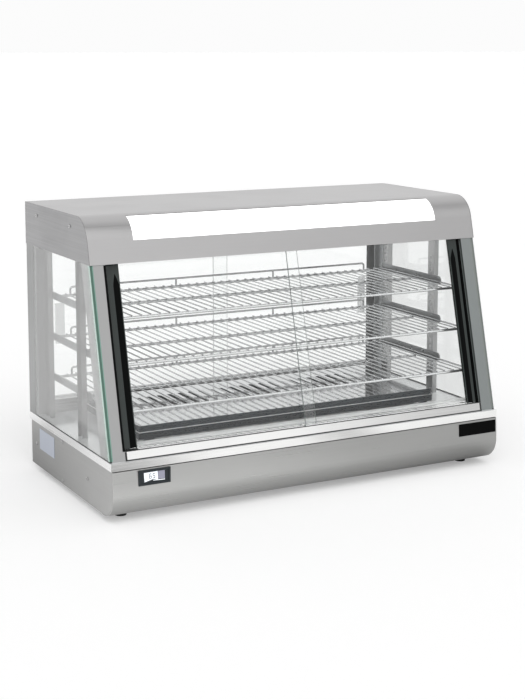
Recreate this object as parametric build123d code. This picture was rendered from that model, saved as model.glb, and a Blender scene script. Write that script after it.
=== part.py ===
from build123d import *
import os
from math import cos, floor, radians, sin, sqrt, tan

# Heated display case for a counter. A folded steel base holds the heater and the controls. Glass
# sides, two pairs of sliding glass doors, three wire shelves and a lit hood stand on its deck.
# Millimetres. +X is the customer's right, +Y is the server's side and +Z is up.
# The origin is on the counter, under the middle of the case.

# The whole case
case_width = 915.0
case_depth = 480.0  # display bezel to the back of the hood
floor_gap = 12.0  # counter to the underside of the base
base_height = 114.0  # underside of the base to the deck
opening_height = 372.5  # deck to the lower edge of the hood
hood_height = 91.5
front_lean = 13.8  # degrees that the front slopes back
sheet = 1.0  # steel sheet thickness
fit_gap = 0.5  # room between pieces that slide or drop together
overcut = 2.0  # how far a cut runs past the face it opens

# Base
trim_proud = 1.5  # display bezel ahead of the fascia
rim_setback = 3.5  # rim behind the foremost line of the fascia
rim_height = 15.5
fascia_face_radius = 500.0
fascia_toe_radius = 50.0
fascia_toe_flange = 10.0
fascia_gap = 1.5  # shadow gap under the rim
side_inset = 2.0
side_rear_gap = 8.0
rear_panel_recess = 27.0
tray_flange = 15.0

# Feet and screws
foot_radius = 11.5
foot_top_radius = 13.5
foot_from_side = 47.0
foot_from_front = 75.0
foot_from_rear = 62.0
screw_head_radius = 3.5
screw_head_height = 2.0
screw_head_round = 1.2
screw_radius = 2.0
screw_length = 8.0
screw_clearance = 0.2
base_screws = ((39.0, 91.5), (39.0, 9.0), (-103.0, 50.5), (200.0, 50.5))  # y, above the underside
hood_screws = ((166.0, 68.0), (-32.0, 66.5))  # y, above the hood's lower edge

# Thermometer, blank name plate and blank rating plate
display_width = 68.0
display_height = 31.0
display_from_side = 55.0
display_above_base = 64.0
display_bezel = 3.0
display_body_wall = 1.5
display_case_depth = 22.0
display_pocket = 2.5
lens_thickness = 1.2
name_plate_width = 98.0
name_plate_height = 27.0
name_plate_from_side = 3.0
name_plate_above_base = 66.0
plate_thickness = 0.8
rating_plate_width = 90.0
rating_plate_height = 45.0
rating_plate_from_rear = 106.0
rating_plate_above_base = 66.0

# Heater under its raised cover
cover_from_side = 102.5
cover_from_rim = 104.5
cover_depth = 281.0
cover_gap = 10.0
cover_lower_height = 14.0
cover_upper_height = 14.0
cover_step = 1.5
cover_leg_width = 22.0
cover_leg_inset = 12.0
vent_width = 10.0
vent_length = 100.0
vent_from_front = 175.5  # front of the cover to the middle of the vents
vent_pitch = 25.0
vent_count = 24
element_radius = 4.0
element_height = 19.0
element_bend = 12.0
element_length = 300.0
element_spread = 150.0
element_middle_gap = 30.0
terminal_size = (70.0, 26.0, 20.0)
terminal_count = 5

# Controls on the recessed rear panel
control_height = 56.0  # above the underside of the base
knob_from_side = 157.5
knob_radius = 20.0
knob_skirt = 4.0
knob_grip_width = 10.0
knob_grip_height = 11.0
knob_grip_reach = 17.5
knob_seat = 7.5  # length of shaft in the grip
knob_gap = 2.0
shaft_radius = 3.0
shaft_running_gap = 0.15
shaft_seat_gap = 0.05
shaft_inside = 22.0  # length of shaft in the thermostat
thermostat_size = (38.0, 32.0, 32.0)
indicator_from_knob = 55.0
indicator_radius = 5.0
indicator_dome_radius = 4.0
indicator_depth = 10.0
indicator_collar = 1.5
switches_from_knob = (95.0, 135.0)
switch_half_width = 7.0
switch_half_height = 11.4
switch_wall = 2.5
switch_lip = 1.5
switch_lip_height = 2.0
switch_depth = 18.0
switch_cavity = 10.0
rocker_side_gap = 0.4
rocker_half_height = 10.2
rocker_back = 4.0
rocker_edge = 1.5
rocker_dip = 3.0
rocker_face = 4.5
rocker_tilt = 9.0
rocker_pivot_depth = 1.0
rocker_pin_radius = 1.5
rocker_pin_length = 1.5
rocker_pin_gap = 0.1
gland_from_side = 97.5
gland_height = 40.0
gland_thread_radius = 8.0
gland_bore_radius = 4.0
gland_flange = 4.0
gland_dome = 12.0
gland_shoulder = 3.0
gland_nut = 5.0
gland_thread_end = 2.0  # thread past the nut
panel_vent_x = 120.0
panel_vent_width = 4.0
panel_vent_length = 46.0
panel_vent_pitch = 12.0
panel_vent_count = 9

# Frame and fixed glass
side_glass = 5.0
gasket_height = 2.0
glass_rise = 8.0  # side glass above the hood's lower edge
post_width = 46.0
post_depth = 40.0
post_joggle = 43.0  # back of the post to the step that the glass butts
post_wing = 8.0
frame_rise = 22.0  # posts and pillars above the hood's lower edge
pillar_setback = 9.0
pillar_width = 28.0
pillar_depth = 50.0
upright_inset = 34.0  # inner face of an upright from the case side
upright_width = 25.0
upright_depth = 11.5
front_upright_y = -33.5  # front edge of the front uprights
rear_upright_gap = 13.0
slot_width = 6.5
slot_height = 8.0
slot_pitch = 14.82
slot_first = 63.2  # first slot above the deck
slot_count = 18

# Sliding doors and their tracks
door_glass = 4.0
door_overlap = 30.0
groove_gap = 0.8  # each side of the glass
groove_floor = 4.0
groove_depth_top = 14.0
door_headroom = 4.0
front_track_height = 17.0
front_track_depth = 28.0
front_track_end_gap = 0.5
front_door_offset = 8.0  # front plane to the face of the front glass, level
front_door_pitch = 10.0
front_door_lap = 14.5
edge_profile_width = 46.0
edge_profile_wall = 2.0
edge_profile_facet = 1.2
edge_profile_facet_width = 14.0
edge_profile_foot = 2.5
edge_profile_top_gap = 7.0
rear_track_height = 29.0
rear_door_offset = 11.0
rear_door_pitch = 12.0
rear_door_lap = 14.0
pull_width = 20.0
pull_height = 90.0
pull_thickness = 6.0
pull_wall = 1.6
pull_from_post = 12.0
upper_track_height = 20.0

# Shelves and the brackets they rest on
shelf_slots = (14, 8, 2)  # slot that each pair of brackets hangs in, top shelf first
shelf_side_gap = 2.0  # side of a shelf to the uprights
top_shelf_depth = 315.0
shelf_depth_step = 25.0
shelf_rear_gap = 6.0
shelf_rest_gap = 0.3
surface_wire = 3.0
side_wire = 4.0
cross_wire = 6.0
wire_weld = 0.6
wire_pitch = 20.7
fence_wire = 4.4
fence_height = 16.0
fence_bend = 6.0
fence_leg_step = 18  # wire spacings from the middle to an end leg
fence_post_step = 6
bracket_sheet = 1.5
bracket_height = 16.0
bracket_nose = 9.0
bracket_flange = 16.0
bracket_reach = 29.0  # ahead of the front uprights
bracket_hook_drop = 11.0
hook_width = 5.0
hook_height = 6.6
hook_reach = 3.0

# Hood
hood_radius = 57.0
lip_proud = 3.0
window_from_side = 97.5
window_cut_depth = 12.0
window_start = 18.0  # degrees past the top of the curve
window_above_hood_edge = 43.5
light_panel_thickness = 3.0
light_panel_margin = 8.0
light_panel_overlap_angle = 8.0
ceiling_rise = 2.0
ceiling_gap = 1.5
lamp_radius = 13.0
lamp_length = 590.0
lamp_back = 12.0
lamp_above_ceiling = 40.0
lamp_pin_radius = 1.2
lamp_pin_length = 7.0
lamp_pin_spread = 6.4
lamp_pin_gap = 0.1
holder_thickness = 12.0
holder_width = 24.0
holder_top = 14.0
lamp_window_from_holder = 25.0
lamp_window_depth = 40.0
lamp_cover_margin = 8.0
lamp_cover_thickness = 3.0

# Where the main faces lie
half_width = case_width / 2
rear_y = case_depth / 2
base_z = floor_gap
deck_z = base_z + base_height
hood_z = deck_z + opening_height
top_z = hood_z + hood_height
ceiling_z = hood_z + ceiling_rise
frame_top = hood_z + frame_rise
lean_angle = radians(front_lean)
lean = tan(lean_angle)
wall_x = half_width - sheet
glass_x = wall_x - side_glass
side_x = half_width - side_inset
fascia_y = -rear_y + trim_proud
rim_y = fascia_y + rim_setback
pillar_y = rim_y + pillar_setback
bulge_z = base_z + fascia_toe_radius
fascia_top = deck_z - rim_height - fascia_gap
panel_y = rear_y - rear_panel_recess
control_z = base_z + control_height
pillar_x = glass_x - pillar_width
post_x = wall_x - post_width
post_back = rear_y - sheet
post_front = post_back - post_depth
step_y = post_back - post_joggle
upright_x = half_width - upright_inset
rear_upright_y = step_y - rear_upright_gap - upright_width + sheet
shelf_rear = post_front - shelf_rear_gap
fence_y = shelf_rear - cross_wire / 2
shelf_half_width = upright_x - shelf_side_gap
cover_half_width = half_width - cover_from_side
window_half_width = half_width - window_from_side
knob_x = -half_width + knob_from_side
indicator_x = knob_x + indicator_from_knob
switch_xs = [knob_x + step for step in switches_from_knob]
gland_x = half_width - gland_from_side
arc_z = top_z - hood_radius


def front_y(z, offset=0.0):
    """Where the sloping front plane is at a height, moved back by a level offset."""
    return pillar_y + (z - deck_z) * lean + offset


lip_y = front_y(hood_z, -lip_proud)
arc_y = lip_y + (hood_radius + (arc_z - hood_z) * sin(lean_angle)) / cos(lean_angle)


def block(x, y, z):
    """A box between two faces on each axis."""
    return Pos(sum(x) / 2, sum(y) / 2, sum(z) / 2) * Box(x[1] - x[0], y[1] - y[0], z[1] - z[0])


def rod(start, end, radius):
    """A round bar between two points."""
    axis = Vector(*end) - Vector(*start)
    middle = (Vector(*start) + Vector(*end)) * 0.5
    return Plane(origin=middle, z_dir=axis) * Cylinder(radius, axis.length)


def along_x(face, x):
    """A section drawn in depth and height, run from one X to another."""
    return extrude(Pos(x[0], 0, 0) * (Plane.YZ * face), amount=x[1] - x[0], dir=(1, 0, 0))


def leaning_block(x, offset, z):
    """A box whose front and back slope with the front of the case."""
    corners = [
        (front_y(z[0], offset[0]), z[0]),
        (front_y(z[0], offset[1]), z[0]),
        (front_y(z[1], offset[1]), z[1]),
        (front_y(z[1], offset[0]), z[1]),
    ]
    return along_x(Polygon(*corners), x)


def leaning_bar(plan, z):
    """A plan section at the front plane, run up the slope of the front."""
    start = Pos(0, front_y(z[0]), z[0]) * Polygon(*plan)
    length = (z[1] - z[0]) * sqrt(1 + lean**2)
    return extrude(start, amount=length, dir=(0, lean, 1))


def mirrored(shape):
    """The same piece on the other side of the case."""
    return mirror(shape, about=Plane.YZ)


def solids_of(shapes):
    """Separate solids kept together under one name."""
    return Compound(children=[shape.solid() for shape in shapes])


def pair_of(shape):
    """A piece and its twin on the other side."""
    return solids_of([shape, mirrored(shape)])


def turned(shape, x, y, z):
    """A piece drawn around +Z, turned to point at the server and put in place."""
    return Plane(origin=(x, y, z), x_dir=(1, 0, 0), z_dir=(0, 1, 0)) * shape


# Base


def fascia_line(inset, z_top):
    """The fascia's section from its top edge to its toe, moved inwards."""
    face_y = fascia_y + fascia_face_radius
    toe_y = fascia_y + fascia_toe_radius
    face_r = fascia_face_radius - inset
    toe_r = fascia_toe_radius - inset
    half_z = (bulge_z + z_top) / 2
    top = (face_y - sqrt(face_r**2 - (z_top - bulge_z) ** 2), z_top)
    face_middle = (face_y - sqrt(face_r**2 - (half_z - bulge_z) ** 2), half_z)
    bulge = (fascia_y + inset, bulge_z)
    slant = toe_r * sin(radians(45))
    toe_middle = (toe_y - slant, bulge_z - slant)
    toe = (toe_y, base_z + inset)
    arcs = [ThreePointArc(top, face_middle, bulge), ThreePointArc(bulge, toe_middle, toe)]
    return top, arcs, toe


def behind_fascia(inset, z_top, back):
    """The filled side outline of the base behind the fascia."""
    top, arcs, toe = fascia_line(inset, z_top)
    low, high = (back, toe[1]), (back, z_top)
    return make_face([*arcs, Line(toe, low), Line(low, high), Line(high, top)])


display_x = (-half_width + display_from_side, -half_width + display_from_side + display_width)
display_z = (base_z + display_above_base, base_z + display_above_base + display_height)
body_x = (display_x[0] + display_bezel, display_x[1] - display_bezel)
body_z = (display_z[0] + display_bezel, display_z[1] - display_bezel)
lens_x = (body_x[0] + display_body_wall, body_x[1] - display_body_wall)
lens_z = (body_z[0] + display_body_wall, body_z[1] - display_body_wall)


def front_fascia():
    top_out, outer, toe_out = fascia_line(0, fascia_top)
    top_in, inner, toe_in = fascia_line(sheet, fascia_top)
    end_y = toe_out[0] + fascia_toe_flange
    flange = Polyline(toe_out, (end_y, toe_out[1]), (end_y, toe_in[1]), toe_in)
    section = make_face([*outer, flange, *inner, Line(top_in, top_out)])
    opening_x = (body_x[0] - fit_gap, body_x[1] + fit_gap)
    opening_z = (body_z[0] - fit_gap, body_z[1] + fit_gap)
    opening = block(opening_x, (-rear_y - overcut, fascia_y + display_case_depth), opening_z)
    return along_x(section, (-side_x, side_x)) - opening


def screw_places(places, z_low, x):
    return [(x, y, z_low + height) for y, height in places]


base_screw_points = screw_places(base_screws, base_z, side_x)
hood_screw_points = screw_places(hood_screws, hood_z, half_width)


def without_screw_holes(shape, points):
    """Clearance holes along X at the points."""
    radius = screw_radius + screw_clearance
    for x, y, z in points:
        shape -= rod((x - screw_length, y, z), (x + overcut, y, z), radius)
    return shape


def base_side():
    top_z_here = deck_z - sheet
    outline = behind_fascia(sheet + fit_gap, top_z_here, rear_y - side_rear_gap)
    panel = along_x(outline, (side_x - sheet, side_x))
    rim_room = (fascia_y - overcut, rim_y + sheet + fit_gap)
    panel -= block((side_x - sheet - overcut, side_x + overcut), rim_room, (fascia_top, deck_z))
    return without_screw_holes(panel, base_screw_points)


tray_z = base_z + sheet
tray_x = side_x - sheet
foot_points = [
    (side * (half_width - foot_from_side), y)
    for side in (-1, 1)
    for y in (-rear_y + foot_from_front, rear_y - foot_from_rear)
]


def base_tray():
    front, back = fascia_y + fascia_toe_radius, panel_y - sheet
    top = tray_z + tray_flange
    tray = block((-tray_x, tray_x), (front, back), (tray_z, top))
    inside = tray_x - sheet
    tray -= block((-inside, inside), (front - overcut, back - sheet), (tray_z + sheet, top + overcut))
    hole = screw_radius + screw_clearance
    for x, y in foot_points:
        tray -= rod((x, y, tray_z - overcut), (x, y, tray_z + sheet + overcut), hole)
    tray = without_screw_holes(tray, base_screw_points)
    return mirrored(without_screw_holes(mirrored(tray), base_screw_points))


def base_rear_panel():
    panel = block((-tray_x, tray_x), (panel_y - sheet, panel_y), (tray_z, deck_z - sheet))
    through = (panel_y - sheet - overcut, panel_y + overcut)
    round_holes = [
        (knob_x, control_z, shaft_radius + fit_gap),
        (indicator_x, control_z, indicator_radius + fit_gap),
        (gland_x, base_z + gland_height, gland_thread_radius + screw_clearance),
    ]
    for x, z, radius in round_holes:
        panel -= rod((x, through[0], z), (x, through[1], z), radius)
    for x in switch_xs:
        wide = switch_half_width + switch_wall + fit_gap
        tall = switch_half_height + switch_wall + fit_gap
        panel -= block((x - wide, x + wide), through, (control_z - tall, control_z + tall))
    slot = Rot(0, 0, 90) * SlotOverall(panel_vent_length, panel_vent_width)
    first = panel_vent_x - panel_vent_pitch * (panel_vent_count - 1) / 2
    slots = Sketch() + [Pos(first + panel_vent_pitch * i, 0) * slot for i in range(panel_vent_count)]
    cutter = extrude(Plane.XZ * slots, amount=sheet + 2 * overcut)
    return panel - Pos(0, through[1], control_z) * cutter


def deck_plate():
    shell = block((-half_width, half_width), (rim_y, rear_y), (deck_z - rim_height, deck_z))
    inside = (deck_z - rim_height - overcut, deck_z - sheet)
    return shell - block((-wall_x, wall_x), (rim_y + sheet, rear_y - sheet), inside)


def rubber_feet():
    feet = []
    for x, y in foot_points:
        foot = Pos(x, y, tray_z / 2) * Cone(foot_radius, foot_top_radius, tray_z)
        foot -= rod((x, y, -overcut), (x, y, tray_z + overcut), screw_radius + screw_clearance)
        well = screw_head_radius + fit_gap
        feet.append(foot - rod((x, y, -overcut), (x, y, tray_z - screw_length / 2), well))
    return solids_of(feet)


def pan_screw(point, pointing):
    """A pan head whose underside is at the point, with its thread the other way."""
    head = Cylinder(screw_head_radius, screw_head_height)
    head = fillet(head.edges().group_by(Axis.Z)[-1], screw_head_round)
    shank = Pos(0, 0, -(screw_head_height + screw_length) / 2) * Cylinder(screw_radius, screw_length)
    return Plane(origin=point, z_dir=pointing) * (Pos(0, 0, screw_head_height / 2) * (head + shank))


def case_screws():
    screws = [pan_screw((x, y, tray_z - screw_length / 2), (0, 0, -1)) for x, y in foot_points]
    for point in base_screw_points + hood_screw_points:
        screw = pan_screw(point, (1, 0, 0))
        screws += [screw, mirrored(screw)]
    return solids_of(screws)


def display_case():
    flange = block(display_x, (-rear_y, fascia_y + sheet), display_z)
    flange -= along_x(behind_fascia(0, fascia_top, rear_y), (-half_width, half_width))
    body = block(body_x, (-rear_y + trim_proud, fascia_y + display_case_depth), body_z)
    return flange + body - block(lens_x, (-rear_y - overcut, -rear_y + display_pocket), lens_z)


def display_lens():
    floor_y = -rear_y + display_pocket
    return block(lens_x, (floor_y - lens_thickness, floor_y), lens_z)


def name_plate():
    high = base_z + name_plate_above_base + name_plate_height
    right = side_x - name_plate_from_side
    span = (right - name_plate_width, right)
    skin = along_x(behind_fascia(-plate_thickness, fascia_top, rear_y), span)
    skin -= along_x(behind_fascia(0, fascia_top, rear_y + overcut), (-half_width, half_width))
    return skin & block((0, half_width), (-rear_y, 0), (high - name_plate_height, high))


def rating_plate():
    middle = rear_y - rating_plate_from_rear
    y = (middle - rating_plate_width / 2, middle + rating_plate_width / 2)
    low = base_z + rating_plate_above_base - rating_plate_height / 2
    return block((-side_x - plate_thickness, -side_x), y, (low, low + rating_plate_height))


# Heater

cover_front = rim_y + cover_from_rim
cover_back = cover_front + cover_depth
cover_low = deck_z + cover_gap
cover_middle = cover_low + cover_lower_height
cover_top = cover_middle + cover_upper_height


def heater_cover():
    lower_x, lower_y = (-cover_half_width, cover_half_width), (cover_front, cover_back)

    def stepped_in(amount):
        return (lower_x[0] + amount, lower_x[1] - amount), (lower_y[0] + amount, lower_y[1] - amount)

    cover = block(lower_x, lower_y, (cover_low, cover_middle))
    cover += block(*stepped_in(cover_step), (cover_middle, cover_top))
    wall = cover_step + sheet
    cover -= block(*stepped_in(wall), (cover_low - overcut, cover_top - sheet))
    far = cover_half_width - cover_leg_inset
    legs = []
    for leg_x in ((-far, cover_leg_width - far), (far - cover_leg_width, far)):
        for leg_y in ((cover_front, cover_front + wall), (cover_back - wall, cover_back)):
            legs.append(block(leg_x, leg_y, (deck_z, cover_low)))
    slot = Rot(0, 0, 90) * SlotOverall(vent_length, vent_width)
    first = -vent_pitch * (vent_count - 1) / 2
    slots = Sketch() + [Pos(first + vent_pitch * i, 0) * slot for i in range(vent_count)]
    low = cover_top - sheet - overcut
    cutter = extrude(Pos(0, cover_front + vent_from_front, low) * slots, amount=sheet + 2 * overcut)
    return solids_of([cover - cutter, *legs])


def heating_element():
    """A hairpin rod on the right, with both ends bent down to the deck."""
    near, far = element_middle_gap, element_middle_gap + element_length
    middle = (cover_front + cover_back) / 2
    low, high = deck_z, deck_z + element_height
    front, back = middle - element_spread / 2, middle + element_spread / 2
    path = FilletPolyline(
        (near, front, low), (near, front, high), (far, front, high),
        (far, back, high), (near, back, high), (near, back, low),
        radius=element_bend,
    )
    return sweep(Plane(origin=path @ 0, z_dir=path % 0) * Circle(element_radius), path=path)


def terminal_block():
    long, deep, tall = terminal_size
    low = tray_z + sheet
    back = panel_y - 2 * sheet - deep
    body = block((knob_x - long / 2, knob_x + long / 2), (back - deep, back), (low, low + tall))
    for i in range(terminal_count):
        x = knob_x - long / 2 + long * (i + 0.5) / terminal_count
        y = back - deep / 2
        body -= rod((x, y, low + tall / 2), (x, y, low + tall + overcut), screw_head_radius)
    return body


# Controls


def thermostat_body():
    wide, deep, tall = thermostat_size
    front = panel_y - sheet
    span = (knob_x - wide / 2, knob_x + wide / 2)
    body = block(span, (front - deep, front), (control_z - tall / 2, control_z + tall / 2))
    bore = shaft_radius + shaft_running_gap
    bottom = front - shaft_inside - fit_gap
    return body - rod((knob_x, bottom, control_z), (knob_x, front + overcut, control_z), bore)


knob_start = panel_y + knob_gap
shaft_end = knob_start + knob_skirt + knob_seat


def thermostat_shaft():
    start = panel_y - sheet - shaft_inside
    return rod((knob_x, start, control_z), (knob_x, shaft_end, control_z), shaft_radius)


def thermostat_knob():
    skirt_end = knob_start + knob_skirt
    knob = rod((knob_x, knob_start, control_z), (knob_x, skirt_end, control_z), knob_radius)
    grip_x = (knob_x - knob_grip_width / 2, knob_x + knob_grip_width / 2)
    grip_z = (control_z - knob_grip_reach, control_z + knob_grip_reach)
    knob += block(grip_x, (skirt_end, skirt_end + knob_grip_height), grip_z)
    bore = shaft_radius + shaft_seat_gap
    bore_y = (knob_start - overcut, shaft_end + fit_gap)
    return knob - rod((knob_x, bore_y[0], control_z), (knob_x, bore_y[1], control_z), bore)


def indicator_lamp():
    start, face = panel_y - sheet - indicator_depth, panel_y + indicator_collar
    lamp = rod((indicator_x, start, control_z), (indicator_x, face, control_z), indicator_radius)
    rim = indicator_radius + indicator_collar
    lamp += rod((indicator_x, panel_y, control_z), (indicator_x, face, control_z), rim)
    return lamp + Pos(indicator_x, face, control_z) * Sphere(indicator_dome_radius)


pivot_y = panel_y - rocker_pivot_depth


def switch_frame(x):
    wide, tall = switch_half_width + switch_wall, switch_half_height + switch_wall
    body_y = (panel_y - switch_depth, panel_y)
    frame = block((x - wide, x + wide), body_y, (control_z - tall, control_z + tall))
    rim_x = (x - wide - switch_lip, x + wide + switch_lip)
    rim_z = (control_z - tall - switch_lip, control_z + tall + switch_lip)
    frame += block(rim_x, (panel_y, panel_y + switch_lip_height), rim_z)
    cavity_x = (x - switch_half_width, x + switch_half_width)
    cavity_y = (panel_y - switch_cavity, panel_y + switch_lip_height + overcut)
    frame -= block(cavity_x, cavity_y, (control_z - switch_half_height, control_z + switch_half_height))
    pin_reach = switch_half_width + rocker_pin_length + rocker_pin_gap
    pin_hole = rocker_pin_radius + rocker_pin_gap
    return frame - rod((x - pin_reach, pivot_y, control_z), (x + pin_reach, pivot_y, control_z), pin_hole)


def switch_rocker(x):
    """A dished rocker on two stub pins, lying in its off position."""
    tall, wide = rocker_half_height, switch_half_width - rocker_side_gap
    half = [(-rocker_back, tall / 2), (rocker_edge, tall), (rocker_face, tall)]
    section = Polygon(*half, (rocker_dip, 0), *[(y, -z) for y, z in reversed(half)])
    rocker = along_x(section, (-wide, wide))
    reach = switch_half_width + rocker_pin_length
    rocker += rod((-reach, 0, 0), (reach, 0, 0), rocker_pin_radius)
    return Pos(x, pivot_y, control_z) * Rot(-rocker_tilt, 0, 0) * rocker


def cable_gland():
    z = base_z + gland_height
    inner_end = panel_y - sheet - gland_nut - gland_thread_end
    shoulder = gland_thread_radius + gland_shoulder
    flange_end = panel_y + gland_flange
    outer_end = flange_end + gland_dome
    body = rod((gland_x, inner_end, z), (gland_x, panel_y, z), gland_thread_radius)
    body += rod((gland_x, panel_y, z), (gland_x, flange_end, z), shoulder)
    dome = Cone(gland_thread_radius + gland_shoulder / 2, gland_bore_radius + gland_shoulder, gland_dome)
    body += turned(dome, gland_x, flange_end + gland_dome / 2, z)
    body -= rod((gland_x, inner_end - overcut, z), (gland_x, outer_end + overcut, z), gland_bore_radius)
    nut_face = panel_y - sheet
    hexagon = extrude(RegularPolygon(shoulder + gland_shoulder / 2, 6), amount=gland_nut)
    nut = turned(hexagon, gland_x, nut_face - gland_nut, z)
    nut -= rod((gland_x, inner_end, z), (gland_x, panel_y, z), gland_thread_radius + shaft_seat_gap)
    return solids_of([body, nut])


# Frame and fixed glass


def rear_post():
    """A folded channel open towards the doors, with a wing that backs the side glass."""
    z = (deck_z, frame_top)
    outer, wing = wall_x, glass_x
    post = block((post_x, outer), (post_back - sheet, post_back), z)
    post += block((outer - sheet, outer), (step_y, post_back), z)
    post += block((post_x, outer), (post_front, post_front + sheet), z)
    post += block((wing - sheet, outer), (step_y, step_y + sheet), z)
    return post + block((wing - sheet, wing), (step_y - post_wing, step_y + sheet), z)


def front_pillar():
    """A sloping channel open towards the doors."""
    plan = [
        (pillar_x, 0), (glass_x, 0), (glass_x, pillar_depth), (pillar_x, pillar_depth),
        (pillar_x, pillar_depth - sheet), (glass_x - sheet, pillar_depth - sheet),
        (glass_x - sheet, sheet), (pillar_x, sheet),
    ]
    return leaning_bar(plan, (deck_z, frame_top))


def side_pane_outline(z):
    rear = step_y
    return Polygon((front_y(z[0]), z[0]), (rear, z[0]), (rear, z[1]), (front_y(z[1]), z[1]))


def side_pane():
    z = (deck_z + gasket_height, hood_z + glass_rise)
    return along_x(side_pane_outline(z), (glass_x, wall_x))


def side_gasket():
    return along_x(side_pane_outline((deck_z, deck_z + gasket_height)), (glass_x, wall_x))


def upright(front):
    """A slotted channel whose web faces into the case."""
    z = (deck_z, ceiling_z)
    back = front + upright_width
    outer = upright_x + upright_depth
    bar = block((upright_x, outer), (front, back), z)
    hollow_z = (z[0] - overcut, z[1] + overcut)
    bar -= block((upright_x + sheet, outer + overcut), (front + sheet, back - sheet), hollow_z)
    middle = (front + back) / 2
    slot = Rectangle(slot_width, slot_height)
    slots = Sketch() + [Pos(middle, slot_z(i)) * slot for i in range(slot_count)]
    return bar - along_x(slots, (upright_x - overcut, upright_x + sheet + overcut))


def slot_z(index):
    return deck_z + slot_first + slot_pitch * index


def uprights():
    return solids_of([upright(y) for y in (front_upright_y, rear_upright_y)])


def shelf_level(slot):
    """The top of the bracket flanges that hang in a slot."""
    return slot_z(slot) - bracket_hook_drop + bracket_sheet


def bracket(slot):
    """An angle bar with a hook in a slot of each upright."""
    low = shelf_level(slot) - bracket_sheet
    front, back = front_upright_y - bracket_reach, rear_upright_y + upright_width
    outer = upright_x
    inner = outer - bracket_sheet
    plate = block((inner, outer), (front, back), (low, low + bracket_height))
    nose = plate.edges().filter_by(Axis.X).group_by(Axis.Y)[0].sort_by(Axis.Z)[-1]
    plate = fillet(nose, bracket_nose)
    plate += block((inner - bracket_flange, outer), (front, back), (low, low + bracket_sheet))
    for upright_front in (front_upright_y, rear_upright_y):
        y = upright_front + upright_width / 2
        hook_y = (y - hook_width / 2, y + hook_width / 2)
        hook_z = (slot_z(slot) - hook_height / 2, slot_z(slot) + hook_height / 2)
        plate += block((inner, outer + sheet + hook_reach), hook_y, hook_z)
    return plate


def brackets():
    return solids_of([bracket(slot) for slot in shelf_slots])


# Doors and tracks

glass_offsets = (front_door_offset, front_door_offset + front_door_pitch)
track_bottom = deck_z + groove_floor
door_z = (track_bottom + fit_gap, ceiling_z + groove_depth_top - door_headroom)
door_edge = door_overlap / 2
front_door_edge = pillar_x + front_door_lap


def groove(offset):
    return offset - groove_gap, offset + door_glass + groove_gap


def front_track_lower():
    reach = pillar_x - front_track_end_gap
    top = deck_z + front_track_height
    track = leaning_block((-reach, reach), (0, front_track_depth), (deck_z, top))
    cut_x, cut_z = (-reach - overcut, reach + overcut), (track_bottom, top + overcut)
    for offset in glass_offsets:
        track -= leaning_block(cut_x, groove(offset), cut_z)
    return track


def front_track_upper():
    z = (ceiling_z, ceiling_z + upper_track_height)
    lip_inside = sheet / cos(lean_angle) - lip_proud
    track = leaning_block((-pillar_x, pillar_x), (lip_inside, front_track_depth), z)
    cut_x, cut_z = (-pillar_x - overcut, pillar_x + overcut), (z[0] - overcut, z[0] + groove_depth_top)
    for offset in glass_offsets:
        track -= leaning_block(cut_x, groove(offset), cut_z)
    return track


def front_door(side, offset):
    """A pane that closes one half of the front. Side is 1 on the right and -1 on the left."""
    edge = front_door_edge - edge_profile_wall
    x = tuple(sorted((side * edge, -side * door_edge)))
    return leaning_block(x, (offset, offset + door_glass), door_z)


def edge_profile(offset):
    """The dark finger profile that wraps the outer edge of the right-hand front door."""
    outer, inner = front_door_edge, front_door_edge - edge_profile_width
    crease = inner + edge_profile_facet_width
    front, back = offset - edge_profile_wall, offset + door_glass + edge_profile_wall
    glass_front, glass_back = offset, offset + door_glass
    seat = outer - edge_profile_wall
    plan = [
        (inner, front + edge_profile_facet), (crease, front), (outer, front),
        (outer, back), (inner, back),
        (inner, glass_back), (seat, glass_back), (seat, glass_front), (inner, glass_front),
    ]
    low = deck_z + front_track_height + edge_profile_foot
    return leaning_bar(plan, (low, hood_z - edge_profile_top_gap))


rear_glass_y = (post_front + rear_door_offset, post_front + rear_door_offset + rear_door_pitch)
rear_door_edge = post_x + rear_door_lap


def rear_track_lower():
    reach = post_x - fit_gap
    top = deck_z + rear_track_height
    track = block((-reach, reach), (post_front, post_back), (deck_z, top))
    cut_x, cut_z = (-reach - overcut, reach + overcut), (track_bottom, top + overcut)
    for y in rear_glass_y:
        track -= block(cut_x, groove(y), cut_z)
    return track


def rear_track_upper():
    z = (ceiling_z, ceiling_z + upper_track_height)
    track = block((-post_x, post_x), (post_front, post_back), z)
    cut_x, cut_z = (-post_x - overcut, post_x + overcut), (z[0] - overcut, z[0] + groove_depth_top)
    for y in rear_glass_y:
        track -= block(cut_x, groove(y), cut_z)
    return track


def rear_door(side, y):
    x = tuple(sorted((side * rear_door_edge, -side * door_edge)))
    return block(x, (y, y + door_glass), door_z)


def door_pull(y):
    """A stick-on finger pull for the right-hand rear door."""
    outer = post_x - pull_from_post
    middle = (door_z[0] + door_z[1]) / 2
    z = (middle - pull_height / 2, middle + pull_height / 2)
    face = y + door_glass
    pull = block((outer - pull_width, outer), (face, face + pull_thickness), z)
    hollow_x = (outer - pull_width - overcut, outer - pull_wall)
    hollow_z = (z[0] + pull_wall, z[1] - pull_wall)
    return pull - block(hollow_x, (face + pull_wall, face + pull_thickness + overcut), hollow_z)


# Shelves


def wire_places():
    """Centres of the surface wires across the shelf, half a spacing either side of the middle."""
    last = shelf_half_width - side_wire / 2
    count = floor((last - side_wire) / wire_pitch + 0.5)
    return [wire_pitch * (i + 0.5) for i in range(-count, count)], last


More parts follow.
